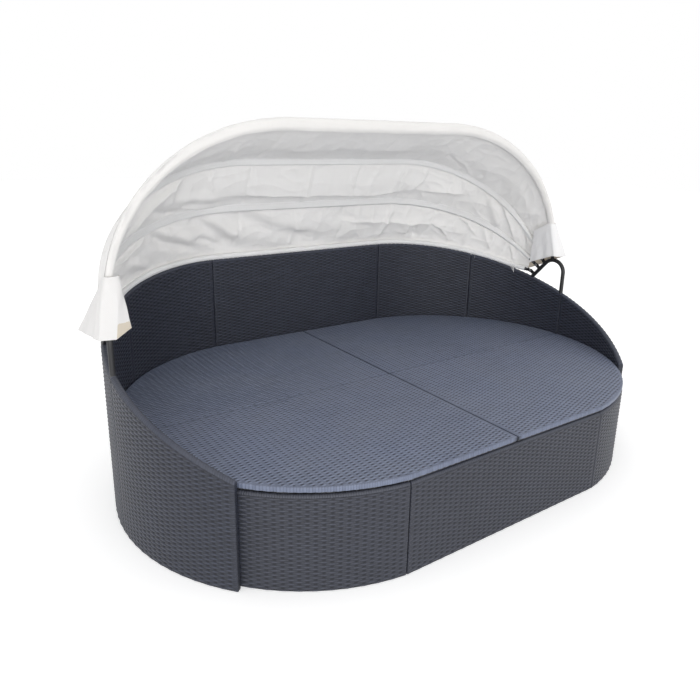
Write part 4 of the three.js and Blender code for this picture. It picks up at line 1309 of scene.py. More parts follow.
@dataclass(frozen=True)
class Bow:
    """One bent tube of the canopy, from its right pivot over to its left one."""

    name: str
    body: str
    pivot: Triple
    reach: float = 0.0
    tilt: float = 0.0
    roundness: float = 2.1
    tube: float = 0.008
    rest_gap: float = 0.002
    approach: float = 0.110
    flat_end: float = 0.017
    tongue_width: float = 0.016
    tongue_thickness: float = 0.003
    bore: float = 0.0044
    stations: int = 150
    sides: int = 18

    @property
    def on_rim(self) -> bool:
        """Whether the bow lies on the shell's rim."""
        return self.reach == 0.0

    def line(self, share: Array, spread: Array | float = 0.0) -> Array:
        """Points of the bow's centre line, moved outward in its own plane.

        Args:
            share: share of the way from the right pivot to the left one.
            spread: distance outward from the centre line.

        Returns:
            Points with x, y, z in the last axis.
        """
        share, spread = np.broadcast_arrays(np.asarray(share, float), np.asarray(spread, float))
        half = np.minimum(share, 1.0 - share) * 2.0
        side = np.where(share <= 0.5, 1.0, -1.0)
        made = self._rim_line(half, spread) if self.on_rim else self._swing_line(half, spread)
        return made * stacked(side, 1.0, 1.0)

    def _swing_line(self, half: Array, spread: Array) -> Array:
        """The right half of a bow that swings.

        Args:
            half: share of the way from the pivot to the middle of the bow.
            spread: distance outward from the centre line.

        Returns:
            Points with x, y, z in the last axis.
        """
        width = self.pivot[0] - PLAN.centre_x
        arc = (self.reach + width) * math.pi / 4.0
        total = arc + PLAN.centre_x
        along = half * total
        turn = np.clip(along / arc, 0.0, 1.0) * math.pi / 2.0
        power = 2.0 / self.roundness
        bent = along < arc
        round_x = PLAN.centre_x + (width + spread) * np.maximum(np.cos(turn), 0.0) ** power
        x = np.where(bent, round_x, total - along)
        rise = np.where(bent, (self.reach + spread) * np.sin(turn) ** power, self.reach + spread)
        tilt = math.radians(self.tilt)
        return stacked(x, self.pivot[1] + rise * math.cos(tilt), self.pivot[2] + rise * math.sin(tilt))

    def _rim_line(self, half: Array, spread: Array) -> Array:
        """The right half of the bow that lies on the rim.

        Args:
            half: share of the way from the pivot to the middle of the bow.
            spread: distance outward from the centre line.

        Returns:
            Points with x, y, z in the last axis.
        """
        wall = PLAN.shell_gap + PLAN.panel / 2.0
        radius = PLAN.radius + wall
        lift = self.tube + self.rest_gap
        start = math.asin((self.pivot[1] - PLAN.shift) / radius)
        arc = (PLAN.corner - start) * radius
        along = half * (arc + PLAN.flat_half)
        angle = start + np.minimum(along, arc) / radius
        flat = along >= arc
        x = np.where(flat, PLAN.flat_half + arc - along, PLAN.centre_x + (radius + spread) * np.cos(angle))
        y = np.where(flat, PLAN.half_depth + wall + spread, (radius + spread) * np.sin(angle))
        z = np.where(flat, PLAN.back_top, PLAN.rim(angle)) + lift + spread / 2.0
        free = smooth_step(0.0, self.approach, along)
        offset = np.array(self.pivot) - np.array([
            PLAN.centre_x + radius * math.cos(start),
            radius * math.sin(start) + PLAN.shift,
            PLAN.rim(start) + lift,
        ])
        return stacked(x, y + PLAN.shift, z) + offset * (1.0 - free)[..., None]

    def share_at(self, distance: float) -> float:
        """Finds where the bow is a distance from its pivot.

        Args:
            distance: straight distance from the pivot.

        Returns:
            Share of the way along the bow.
        """
        shares = np.linspace(0.0, 0.4, 4001)
        away = np.linalg.norm(self.line(shares) - self.line(np.zeros(1)), axis=-1)
        return float(shares[np.argmax(away >= distance)])

    @property
    def normal(self) -> Array:
        """Direction square to the bow's plane, to the front."""
        tilt = math.radians(self.tilt)
        return np.array([0.0, -math.sin(tilt), math.cos(tilt)])

    def build(self) -> Piece:
        """Makes the tube with its pressed flat ends.

        Returns:
            The finished piece, riding its body.
        """
        start = self.share_at(self.flat_end)
        points = self.line(np.linspace(start, 1.0 - start, self.stations))
        level = UP if self.on_rim else self.normal
        draft = MeshDraft()
        draft.bar(swept(points, np.full(len(points), self.tube), level, self.sides))
        eye = np.array(self.pivot)
        end = np.array([eye[0], *points[0][1:]])
        for side in Side:
            Strap(end, eye, self.tongue_width, self.tongue_thickness, self.bore).add_to(draft, side)
        piece = draft.object(f"{self.name}_tube", sharp=40.0)
        COAT.dress(piece)
        return settle(piece, self.body, [self.name])


@dataclass(frozen=True)
class Strap:
    """A flat bar square to X with a round far end and a hole in it."""

    start: Array
    eye: Array
    width: float
    thickness: float
    bore: float
    overrun: float = 0.002
    edge_break: float = 0.0006
    end_steps: int = 12

    def add_to(self, draft: MeshDraft, side: Side) -> None:
        """Adds the strap to a draft.

        Args:
            draft: where it is added.
            side: the side of the bed that it is on.
        """
        run = self.eye - self.start
        angle = math.atan2(run[2], run[1])
        length = math.hypot(run[1], run[2])
        half, face = self.width / 2.0, self.thickness / 2.0
        turn = np.linspace(-math.pi / 2.0, math.pi / 2.0, self.end_steps)
        round_end = stacked(length + half * np.cos(turn), half * np.sin(turn))
        flat = np.concatenate([[(-self.overrun, -half)], round_end, [(-self.overrun, half)]])
        hole_turn = np.linspace(-math.pi, math.pi, len(flat), endpoint=False)
        hole = stacked(length + self.bore * np.cos(hole_turn), self.bore * np.sin(hole_turn))
        inset = flat + unit(np.array([length / 2.0, 0.0]) - flat) * self.edge_break
        bevel = face - self.edge_break
        loops = [(hole, -face), (inset, -face), (flat, -bevel), (flat, bevel), (inset, face), (hole, face)]
        rows = []
        for loop, x in loops:
            y = self.start[1] + loop[:, 0] * math.cos(angle) - loop[:, 1] * math.sin(angle)
            z = self.start[2] + loop[:, 0] * math.sin(angle) + loop[:, 1] * math.cos(angle)
            rows.append(stacked(side.value * (self.eye[0] + x), y, z))
        index = draft.add(np.stack(rows))
        draft.grid(index[:, ::side.value], wrap_rows=True, wrap_columns=True)


# Canopy cloth


class FoldShape(Enum):
    """How a fold's section looks."""

    SOFT = "soft"
    CREASE = "crease"
    LEDGE = "ledge"


@dataclass(frozen=True)
class Fold:
    """A fold along a line of points on one gore, each a share along and a share across.

    A ledge rises slowly to the line on the left of its direction, and drops sharply past it.
    """

    stops: tuple[tuple[float, float], ...]
    depth: float
    width: float
    shape: FoldShape = FoldShape.SOFT
    sharpness: float = 0.2

    def drop(self, along: Array, across: Array, length: float, span: Array) -> Array:
        """How far the fold moves the cloth inward.

        Args:
            along: share along the bows.
            across: share from the front bow to the rear one.
            length: length of the cloth along the bows.
            span: distance between the bows at each point.

        Returns:
            Distances inward.
        """
        x, y = along * length, across * span
        nearest = np.full(np.shape(x), 1e3)
        share = np.zeros(np.shape(x))
        on_left = np.zeros(np.shape(x), bool)
        for k, (a, b) in enumerate(zip(self.stops, self.stops[1:])):
            ax, ay = a[0] * length, a[1] * span
            bx, by = b[0] * length, b[1] * span
            dx, dy = bx - ax, by - ay
            t = np.clip(((x - ax) * dx + (y - ay) * dy) / np.maximum(dx**2 + dy**2, 1e-9), 0.0, 1.0)
            away = np.hypot(x - ax - t * dx, y - ay - t * dy)
            closer = away < nearest
            share = np.where(closer, (k + t) / (len(self.stops) - 1), share)
            on_left = np.where(closer, dx * (y - ay) - dy * (x - ax) > 0.0, on_left)
            nearest = np.minimum(nearest, away)
        taper = smooth_step(0.0, 0.22, share) * smooth_step(1.0, 0.78, share)
        taper = 0.25 + 0.75 * taper
        ratio = nearest / self.width
        if self.shape is FoldShape.SOFT:
            return self.depth * taper * np.exp(-(ratio**2))
        if self.shape is FoldShape.LEDGE:
            ratio = np.where(on_left, ratio, ratio / self.sharpness)
        return self.depth * taper * np.exp(-ratio)


def ripple(points: Array, stretch: Triple, seed: float) -> Array:
    """Smooth noise at places stretched along three axes.

    Args:
        points: places with three numbers in the last axis.
        stretch: waves for each unit along the three axes.
        seed: which stretch of the noise is read.

    Returns:
        Numbers from -1 to 1.
    """
    flat = np.asarray(points, float).reshape(-1, 3) * np.array(stretch) + seed
    made = np.array([noise.noise(Vector(p)) for p in flat])
    return made.reshape(np.shape(points)[:-1])


def creased(points: Array, stretch: Triple, seed: float) -> Array:
    """Noise from 0 to 1 whose crests are sharp, as in crumpled cloth."""
    return (1.0 - np.minimum(np.abs(ripple(points, stretch, seed)) * 1.6, 1.0)) ** 3


def thin_sheet(
    draft: MeshDraft, middle: Array, places: Array, thickness: float, lining: Array | None = None
) -> float:
    """Adds a closed sheet over a grid of middle points.

    Args:
        draft: where the sheet is added.
        middle: grid of points, rows by columns.
        places: the material's coordinates at the same points.
        thickness: thickness of the cloth.
        lining: the coordinates on the other face, where they differ.

    Returns:
        Area of the middle surface.
    """
    normal = unit(np.cross(np.gradient(middle, axis=0), np.gradient(middle, axis=1)))
    upper = draft.add(middle + normal * thickness / 2.0, places)
    lower = draft.add(middle - normal * thickness / 2.0, places if lining is None else lining)
    draft.grid(upper)
    draft.grid(lower[:, ::-1])
    rims = [
        np.concatenate([face[0, :-1], face[:-1, -1], face[-1, :0:-1], face[:0:-1, 0]])
        for face in (lower, upper)
    ]
    draft.grid(np.stack(rims), wrap_columns=True)
    cell_a = middle[1:, 1:] - middle[:-1, :-1]
    cell_b = middle[1:, :-1] - middle[:-1, 1:]
    return float(np.linalg.norm(np.cross(cell_a, cell_b), axis=-1).sum() / 2.0)


def cut_size(middle: Array) -> tuple[float, float]:
    """Works out the cut that a draped grid of points had when it lay flat.

    Args:
        middle: grid of points, rows by columns.

    Returns:
        Its length and its width.
    """
    spans = np.linalg.norm(np.diff(middle, axis=0), axis=-1).sum(0)
    lengths = np.linalg.norm(np.diff(middle, axis=1), axis=-1).sum(1)
    return float(lengths.max()), float(spans.max())


CREASE, LEDGE = FoldShape.CREASE, FoldShape.LEDGE

FRONT_FOLDS = (
    Fold(((0.692, 0.42), (0.694, 0.68), (0.690, 1.02)), 0.010, 0.026, LEDGE),
    Fold(((0.206, 0.95), (0.247, 0.70), (0.286, 0.62)), 0.005, 0.020, LEDGE, 0.4),
    Fold(((0.300, 0.60), (0.262, 0.76), (0.215, 0.95)), -0.005, 0.014),
    Fold(((0.206, 0.95), (0.203, 0.62), (0.200, 0.43)), 0.003, 0.018, LEDGE, 0.4),
    Fold(((0.130, 0.98), (0.165, 0.60), (0.170, 0.25)), -0.005, 0.020),
    Fold(((0.200, 0.90), (0.180, 0.97), (0.130, 0.99)), 0.005, 0.014, CREASE),
    Fold(((0.800, 0.15), (0.845, 0.50), (0.880, 0.95)), 0.005, 0.030),
    Fold(((0.905, 0.20), (0.925, 0.55), (0.940, 0.95)), 0.006, 0.018, LEDGE),
    Fold(((0.060, 0.20), (0.075, 0.60), (0.085, 0.98)), 0.006, 0.018),
    Fold(((0.640, 0.62), (0.500, 0.55), (0.360, 0.60)), 0.003, 0.030),
)

MIDDLE_FOLDS = (
    Fold(((0.315, 0.68), (0.381, 0.74), (0.472, 0.71), (0.560, 0.68), (0.650, 0.66)), -0.001, 0.05),
    Fold(
        ((0.655, 0.66), (0.560, 0.68), (0.472, 0.71), (0.381, 0.74), (0.310, 0.64)),
        0.013, 0.055, LEDGE, 0.28,
    ),
    Fold(((0.310, 0.64), (0.294, 0.36), (0.292, -0.02)), 0.007, 0.022, LEDGE),
    Fold(((0.284, 0.62), (0.240, 0.50), (0.200, 0.40)), 0.009, 0.030, LEDGE, 0.3),
    Fold(((0.222, -0.02), (0.214, 0.17), (0.206, 0.42)), 0.005, 0.014, LEDGE),
    Fold(
        ((0.730, 0.02), (0.767, 0.22), (0.786, 0.29), (0.806, 0.38), (0.828, 0.54), (0.852, 0.80)),
        0.012, 0.030, LEDGE, 0.25,
    ),
    Fold(((0.803, 0.50), (0.769, 0.74), (0.740, 0.95)), -0.007, 0.022),
    Fold(((0.760, 0.45), (0.715, 0.60), (0.672, 0.72)), 0.006, 0.024),
    Fold(((0.742, 0.74), (0.711, 0.88), (0.669, 0.97)), 0.007, 0.016, LEDGE),
    Fold(((0.690, 0.05), (0.700, 0.30), (0.692, 0.55)), 0.004, 0.012, LEDGE),
    Fold(((0.880, 0.10), (0.900, 0.50), (0.915, 0.90)), 0.006, 0.018, LEDGE),
    Fold(((0.156, 0.05), (0.130, 0.40), (0.100, 0.80)), 0.006, 0.022),
    Fold(((0.122, 0.02), (0.083, 0.43), (0.050, 0.95)), 0.008, 0.020, LEDGE),
    Fold(((0.078, 0.02), (0.045, 0.35), (0.022, 0.80)), -0.005, 0.016),
)

REAR_FOLDS = (
    Fold(((0.716, 0.04), (0.700, 0.25), (0.672, 0.50), (0.636, 0.88)), -0.010, 0.030),
    Fold(((0.690, 0.10), (0.660, 0.40), (0.630, 0.62)), 0.007, 0.030),
    Fold(((0.672, 0.06), (0.606, 0.32), (0.522, 0.62), (0.470, 0.80)), -0.010, 0.040),
    Fold(((0.620, 0.15), (0.560, 0.38), (0.480, 0.58)), 0.006, 0.034),
    Fold(((0.792, 0.12), (0.772, 0.42), (0.742, 0.60), (0.705, 0.80)), -0.010, 0.022),
    Fold(((0.778, 0.10), (0.748, 0.30), (0.715, 0.55)), 0.009, 0.026),
    Fold(((0.712, 0.52), (0.690, 0.62), (0.662, 0.82)), -0.007, 0.016),
    Fold(((0.800, 0.10), (0.828, 0.18), (0.850, 0.22), (0.885, 0.26)), 0.008, 0.020, LEDGE),
    Fold(((0.860, 0.35), (0.835, 0.60), (0.805, 0.85)), 0.006, 0.022),
    Fold(((0.905, 0.20), (0.890, 0.55), (0.870, 0.90)), -0.006, 0.018),
    Fold(((0.272, 0.84), (0.275, 0.50), (0.261, 0.44)), 0.009, 0.016, LEDGE),
    Fold(((0.262, 0.50), (0.255, 0.72), (0.245, 0.90)), -0.008, 0.016),
    Fold(((0.228, 0.42), (0.208, 0.50), (0.181, 0.76)), 0.009, 0.016, LEDGE),
    Fold(((0.131, 0.05), (0.110, 0.40), (0.086, 0.78)), 0.006, 0.012, CREASE),
    Fold(((0.192, 0.08), (0.164, 0.17), (0.133, 0.45)), 0.006, 0.016, LEDGE),
    Fold(((0.178, 0.38), (0.289, 0.46), (0.383, 0.43), (0.430, 0.38)), 0.006, 0.018, LEDGE, 0.4),
    Fold(((0.456, 0.20), (0.406, 0.38), (0.342, 0.68)), -0.005, 0.030),
    Fold(((0.325, 0.15), (0.330, 0.50), (0.335, 0.88)), 0.005, 0.014, LEDGE),
    Fold(((0.060, 0.15), (0.045, 0.50), (0.035, 0.85)), 0.006, 0.012, LEDGE),
)


@dataclass(frozen=True)
class Gore:
    """Cloth between a bow and the next one behind it."""

    name: str
    front: Bow
    rear: Bow
    folds: tuple[Fold, ...]
    crumple: float = 0.0035
    sag: float = 0.015
    gather: float = 0.005
    centre_drop: float = 0.4
    lift: float = 0.0114
    front_inset: float = 0.0012
    rear_inset: float = 0.0012
    start: float = 0.070
    rear_start: float = 0.070
    fold_strength: float = 2.0
    columns: int = 380
    rows: int = 58
    thickness: float = 0.0014
    seed: float = 1.0

    def middle(self) -> tuple[Array, Array]:
        """Spreads the cloth between its bows and folds it.

        Returns:
            The cloth's middle surface and its material coordinates.
        """
        u = np.linspace(0.0, 1.0, self.columns + 1)
        v = np.linspace(0.0, 1.0, self.rows + 1)
        first = self.front.share_at(self.start)
        second = self.rear.share_at(self.rear_start)
        fore = self.front.line(first + (1.0 - 2.0 * first) * u, self.lift)
        aft = self.rear.line(second + (1.0 - 2.0 * second) * u, self.lift)
        span = np.linalg.norm(aft - fore, axis=-1)
        inset_f = self.front_inset / span
        inset_r = self.rear_inset / span
        share = inset_f + (1.0 - inset_f - inset_r) * v[:, None]
        base = fore[None] * (1.0 - share[..., None]) + aft[None] * share[..., None]
        normal = unit(np.cross(np.gradient(base, axis=1), np.gradient(base, axis=0)))
        centre = base.mean((0, 1)) - UP * self.centre_drop
        if ((base - centre) * normal).sum(-1).mean() < 0.0:
            normal = -normal
        length = length_of(fore)
        along, wide, spans = np.broadcast_arrays(u[None, :], v[:, None], span[None, :])
        drop = self.sag * np.sin(wide * math.pi) ** 2 * (spans / span.max())
        hold = smooth_step(0.02, 0.15, np.minimum(wide, 1.0 - wide))
        for fold in self.folds:
            drop = drop + fold.drop(along, wide, length, spans) * hold * self.fold_strength
        drop = drop + self._rumple(along, wide, length, spans) * hold
        edge = np.minimum(wide, 1.0 - wide) * spans
        return base - normal * drop[..., None], stacked(along * length, wide * spans, edge)

    def _rumple(self, along: Array, wide: Array, length: float, spans: Array) -> Array:
        """Crumples all over, and gathers that grow toward the ends of the bows.

        Args:
            along: share along the bows.
            wide: share from the front bow to the rear one.
            length: length of the cloth along the bows.
            spans: distance between the bows at each point.

        Returns:
            Distances inward.
        """
        spread = stacked(along * length, wide * spans, 0.0)
        near_end = np.minimum(along, 1.0 - along)
        right = 0.55 + 0.45 * smooth_step(0.50, 0.20, along)
        bend = np.stack([ripple(spread, (3.0, 3.0, 1.0), self.seed + 1.0)] * 3, -1) * 0.05
        made = ripple(spread, (5.0, 4.0, 1.0), self.seed) * self.crumple * 1.6
        made = made + creased(spread + bend, (11.0, 5.0, 1.0), self.seed + 7.0) * self.crumple * 1.5 * right
        made = made + creased(spread + bend, (8.0, 17.0, 1.0), self.seed + 4.0) * self.crumple * 0.8 * right
        made = made + ripple(spread, (30.0, 22.0, 1.0), self.seed + 9.0) * self.crumple * 0.35
        gather = ripple(spread, (6.0, 30.0, 1.0), self.seed + 3.0) * self.gather
        return made + gather * smooth_step(0.20, 0.03, near_end)

    def build(self) -> tuple[Piece, float, tuple[float, float]]:
        """Makes the cloth.

        Returns:
            The piece, its flat area, and the width and length that it was cut from.
        """
        middle, places = self.middle()
        draft = MeshDraft()
        area = thin_sheet(draft, middle, places, self.thickness)
        piece = draft.object(f"{self.name}_cloth", sharp=80.0)
        CLOTH.dress(piece)
        return piece, area, cut_size(middle)


@dataclass(frozen=True)
class BowSleeve:
    """The pocket of cloth that a bow runs in, sewn on inside the gores."""

    bow: Bow
    start: float = 0.070
    round_reach: float = 0.0106
    wall: float = 0.0012
    spread: float = 1.0
    flange: float = 0.022
    under_cloth: float = 0.0102
    ridge: float = 0.0206
    ridge_width: float = 0.0125
    seam_rise: float = 0.0018
    seam_width: float = 0.0025
    wobble: float = 0.0007
    wobbles: float = 70.0
    length: float = 2.6
    no_seam: float = 0.2
    stations: int = 300
    sides: int = 40

    def _section(self, wide: Array, wall: float) -> tuple[Array, Array]:
        """The pocket's section: how far outward and aside each of its points lies.

        Args:
            wide: 0 where the pocket is a round tube, 1 where its edges lie wide on the gores.
            wall: how far inside the outer face the points lie.

        Returns:
            Distances outward and aside, stations by sides.
        """
        turn = np.linspace(0.0, FULL_TURN, self.sides, endpoint=False)
        reach = self.round_reach - wall
        round_out, round_aside = np.cos(turn) * reach, np.sin(turn) * reach
        half = self.sides // 2
        s = np.concatenate([
            np.linspace(0.0, 1.0, half // 2 + 1),
            np.linspace(1.0, -1.0, half + 1)[1:],
            np.linspace(-1.0, 0.0, half // 2 + 1)[1:-1],
        ])
        on_top = (turn <= math.pi / 2.0) | (turn >= math.pi * 1.5)
        aside = s * (self.flange - wall * 0.5)
        top = self.under_cloth + self.seam_rise * np.exp(-((aside / self.seam_width) ** 2)) - wall * 0.5
        ridge = (self.ridge - self.wall) * np.exp(-((aside / self.ridge_width) ** 2))
        low = self.under_cloth - self.wall - ridge + wall * 0.5
        out = np.where(on_top, top, low)
        share = wide[:, None]
        return round_out + (out - round_out) * share, round_aside + (aside - round_aside) * share

    def build(self, body: str) -> Piece:
        """Makes the pocket.

        Args:
            body: the body that it rides.

        Returns:
            The finished piece.
        """
        first = self.bow.share_at(self.start)
        shares = np.linspace(first, 1.0 - first, self.stations)
        centre = self.bow.line(shares)
        outward = unit(self.bow.line(shares, 0.01) - centre)
        tangent = unit(np.gradient(centre, axis=0))
        side = unit(np.cross(tangent, outward))
        wide = smooth_step(0.05, 0.16, np.minimum(shares, 1.0 - shares)) * self.spread
        spot = stacked(shares * self.wobbles, 0.0, 0.0)
        wobble = ripple(spot, (1.0, 1.0, 1.0), 4.0)[:, None] * self.wobble
        faces = []
        for wall in (0.0, self.wall):
            out, aside = self._section(wide, wall)
            out = out + np.where(out < 0.0, wobble, 0.0)
            reach = outward[:, None] * out[..., None]
            faces.append(centre[:, None] + reach + side[:, None] * aside[..., None])
        _, aside = self._section(wide, 0.0)
        seam = np.maximum(self.flange * wide[:, None] - np.abs(aside), 0.0)
        seam = np.where(wide[:, None] > 0.5, seam, self.no_seam)
        draft = MeshDraft()
        draft.tube(faces[0], faces[1], stacked((shares * self.length)[:, None], aside, seam))
        piece = draft.object(f"{self.bow.name}_sleeve", sharp=80.0)
        SLEEVE_CLOTH_PAINTED_LIGHTER.dress(piece)
        return settle(piece, body)


@dataclass(frozen=True)
class FrayedEnds:
    """Loose ends of thread and cloth at the lower edge of the rear gore."""

    bow: Bow
    starts: tuple[float, ...] = (0.094, 0.0075, 0.0115, 0.016)
    lengths: tuple[float, ...] = (0.030, 0.034, 0.026, 0.016)
    widths: tuple[float, ...] = (0.0018, 0.009, 0.006, 0.004)
    thickness: float = 0.0009
    gore_start: float = 0.070
    off_bow: float = 0.0098
    lean: float = 0.006
    curl: float = 0.004
    root_rise: float = 0.004
    taper: float = 0.75
    steps: int = 9

    def build(self) -> Piece:
        """Makes a curled strip for each loose end.

        Returns:
            The finished piece, riding the frame.
        """
        first = self.bow.share_at(self.gore_start)
        draft = MeshDraft()
        for k, (start, length, width) in enumerate(zip(self.starts, self.lengths, self.widths)):
            share = first + (1.0 - 2.0 * first) * start
            root = self.bow.line(np.array([share]))[0]
            inward = -unit(self.bow.line(np.array([share]), 0.01)[0] - root)
            inward = unit(inward * np.array([1.0, 1.0, 0.0]))
            ahead = unit(self.bow.line(np.array([share + 0.002]))[0] - root)
            t = np.linspace(0.0, 1.0, self.steps)[:, None]
            line = root + inward * (self.off_bow + self.lean * t) - UP * (length * t - self.root_rise)
            line = line + ahead * (np.sin(t * (3.0 + k)) * self.curl * t)
            half = ahead * (width / 2.0 * (1.0 - self.taper * t))
            face = inward * self.thickness / 2.0
            corners = [-half - face, half - face, half + face, face - half]
            draft.bar(np.stack([line + corner for corner in corners], 1))
        piece = draft.object("rear_gore_loose_ends", sharp=60.0)
        CLOTH.dress(piece)
        return settle(piece, "daybed_frame")


@dataclass(frozen=True)
class FrontHem:
    """The deep sleeve round the front bow, drawn to a stitched edge behind it."""

    bow: Bow
    start: float = 0.070
    depth_right: float = 0.034
    depth_left: float = 0.022
    outer: float = 0.013
    outer_left: float = 0.0108
    inner_right: float = 0.014
    inner_left: float = 0.0108
    inner_top: float = 0.036
    bore: float = 0.0088
    crumple: float = 0.0016
    fine_crumple: float = 0.0006
    crumples: float = 81.0
    length: float = 2.7
    cloth_reach: float = 0.02
    roundness: float = 2.3
    rear_thinning: float = 0.25
    stations: int = 320
    sides: int = 28

    def build(self) -> Piece:
        """Makes the sleeve.

        Returns:
            The finished piece, riding the front bow.
        """
        first = self.bow.share_at(self.start)
        u = np.linspace(0.0, 1.0, self.stations)
        shares = first + (1.0 - 2.0 * first) * u
        centre = self.bow.line(shares)
        outward = unit(self.bow.line(shares, 0.01) - centre)
        lift = np.broadcast_to(self.bow.normal, outward.shape)
        crown = np.sin(u * math.pi)
        left = smooth_step(0.5, 0.85, u)
        low = self.inner_right + (self.inner_left - self.inner_right) * left
        inner_reach = low + (self.inner_top - low) * crown
        depth = self.depth_right + (self.depth_left - self.depth_right) * left
        outer_reach = self.outer + (self.outer_left - self.outer) * left
        middle = (outer_reach - inner_reach) / 2.0
        half = (outer_reach + inner_reach) / 2.0
        turn = np.linspace(0.0, FULL_TURN, self.sides, endpoint=False)
        square = 2.0 / self.roundness
        cosine, sine = (np.sign(wave) * np.abs(wave) ** square for wave in (np.cos(turn), np.sin(turn)))
        thin = 1.0 - self.rear_thinning * smooth_step(0.2, 1.0, -np.cos(turn))
        spot = stacked((u * self.crumples)[:, None], turn[None, :], 0.0)
        crumple = ripple(spot, (0.5, 0.8, 1.0), 11.0) * self.crumple
        crumple += ripple(spot, (2.6, 1.6, 1.0), 17.0) * self.fine_crumple
        scale = 1.0 + crumple / (depth[:, None] / 2.0)
        long_reach = half[:, None] * cosine[None, :]
        side_reach = depth[:, None] / 2.0 * (thin * sine)[None, :]
        outer = (
            centre[:, None]
            + outward[:, None] * (middle[:, None] + long_reach * (1.0 + (scale - 1.0) * 0.5))[..., None]
            + lift[:, None] * (side_reach * scale)[..., None]
        )
        inner = (
            centre[:, None]
            + outward[:, None] * (self.bore * np.cos(turn))[None, :, None]
            + lift[:, None] * (self.bore * np.sin(turn))[None, :, None]
        )
        seam = np.abs(long_reach + half[:, None])
        draft = MeshDraft()
        draft.tube(outer, inner, stacked((u * self.length)[:, None], turn * self.cloth_reach, seam))
        piece = draft.object("canopy_front_hem_cloth", sharp=80.0)
        CLOTH.dress(piece)
        return settle(piece, self.bow.body, ["canopy_front_hem"])


@dataclass(frozen=True)
class CuffShape:
    """How far one cuff reaches up and down from the front pivot, and how it flares.

    With a crease, its fold comes to a sharp edge toward the foot, and the corner beside it
    turns its lining out.
    """

    top: float
    inner_front: float
    outer_front: float
    inner_rear: float
    outer_rear: float
    front_flare: float
    inner_gap: float
    inner_flare: float
    top_width: float
    stand_off: float
    inner_extra: float
    outer_extra: float
    outer_flare: float
    crease_inset: float
    crease_low: float


LEFT_CUFF = CuffShape(
    top=0.114, inner_front=-0.034, outer_front=-0.060, inner_rear=-0.023, outer_rear=-0.066,
    front_flare=0.058, inner_gap=0.009, inner_flare=0.008, top_width=0.066, stand_off=0.004,
    inner_extra=0.0, outer_extra=0.0, outer_flare=0.038, crease_inset=0.045, crease_low=-0.058,
)
RIGHT_CUFF = CuffShape(
    top=0.154, inner_front=0.007, outer_front=-0.002, inner_rear=-0.045, outer_rear=-0.104,
    front_flare=0.036, inner_gap=0.0, inner_flare=0.004, top_width=0.102, stand_off=0.016,
    inner_extra=-0.028, outer_extra=0.072, outer_flare=0.030, crease_inset=0.0, crease_low=0.0025,
)


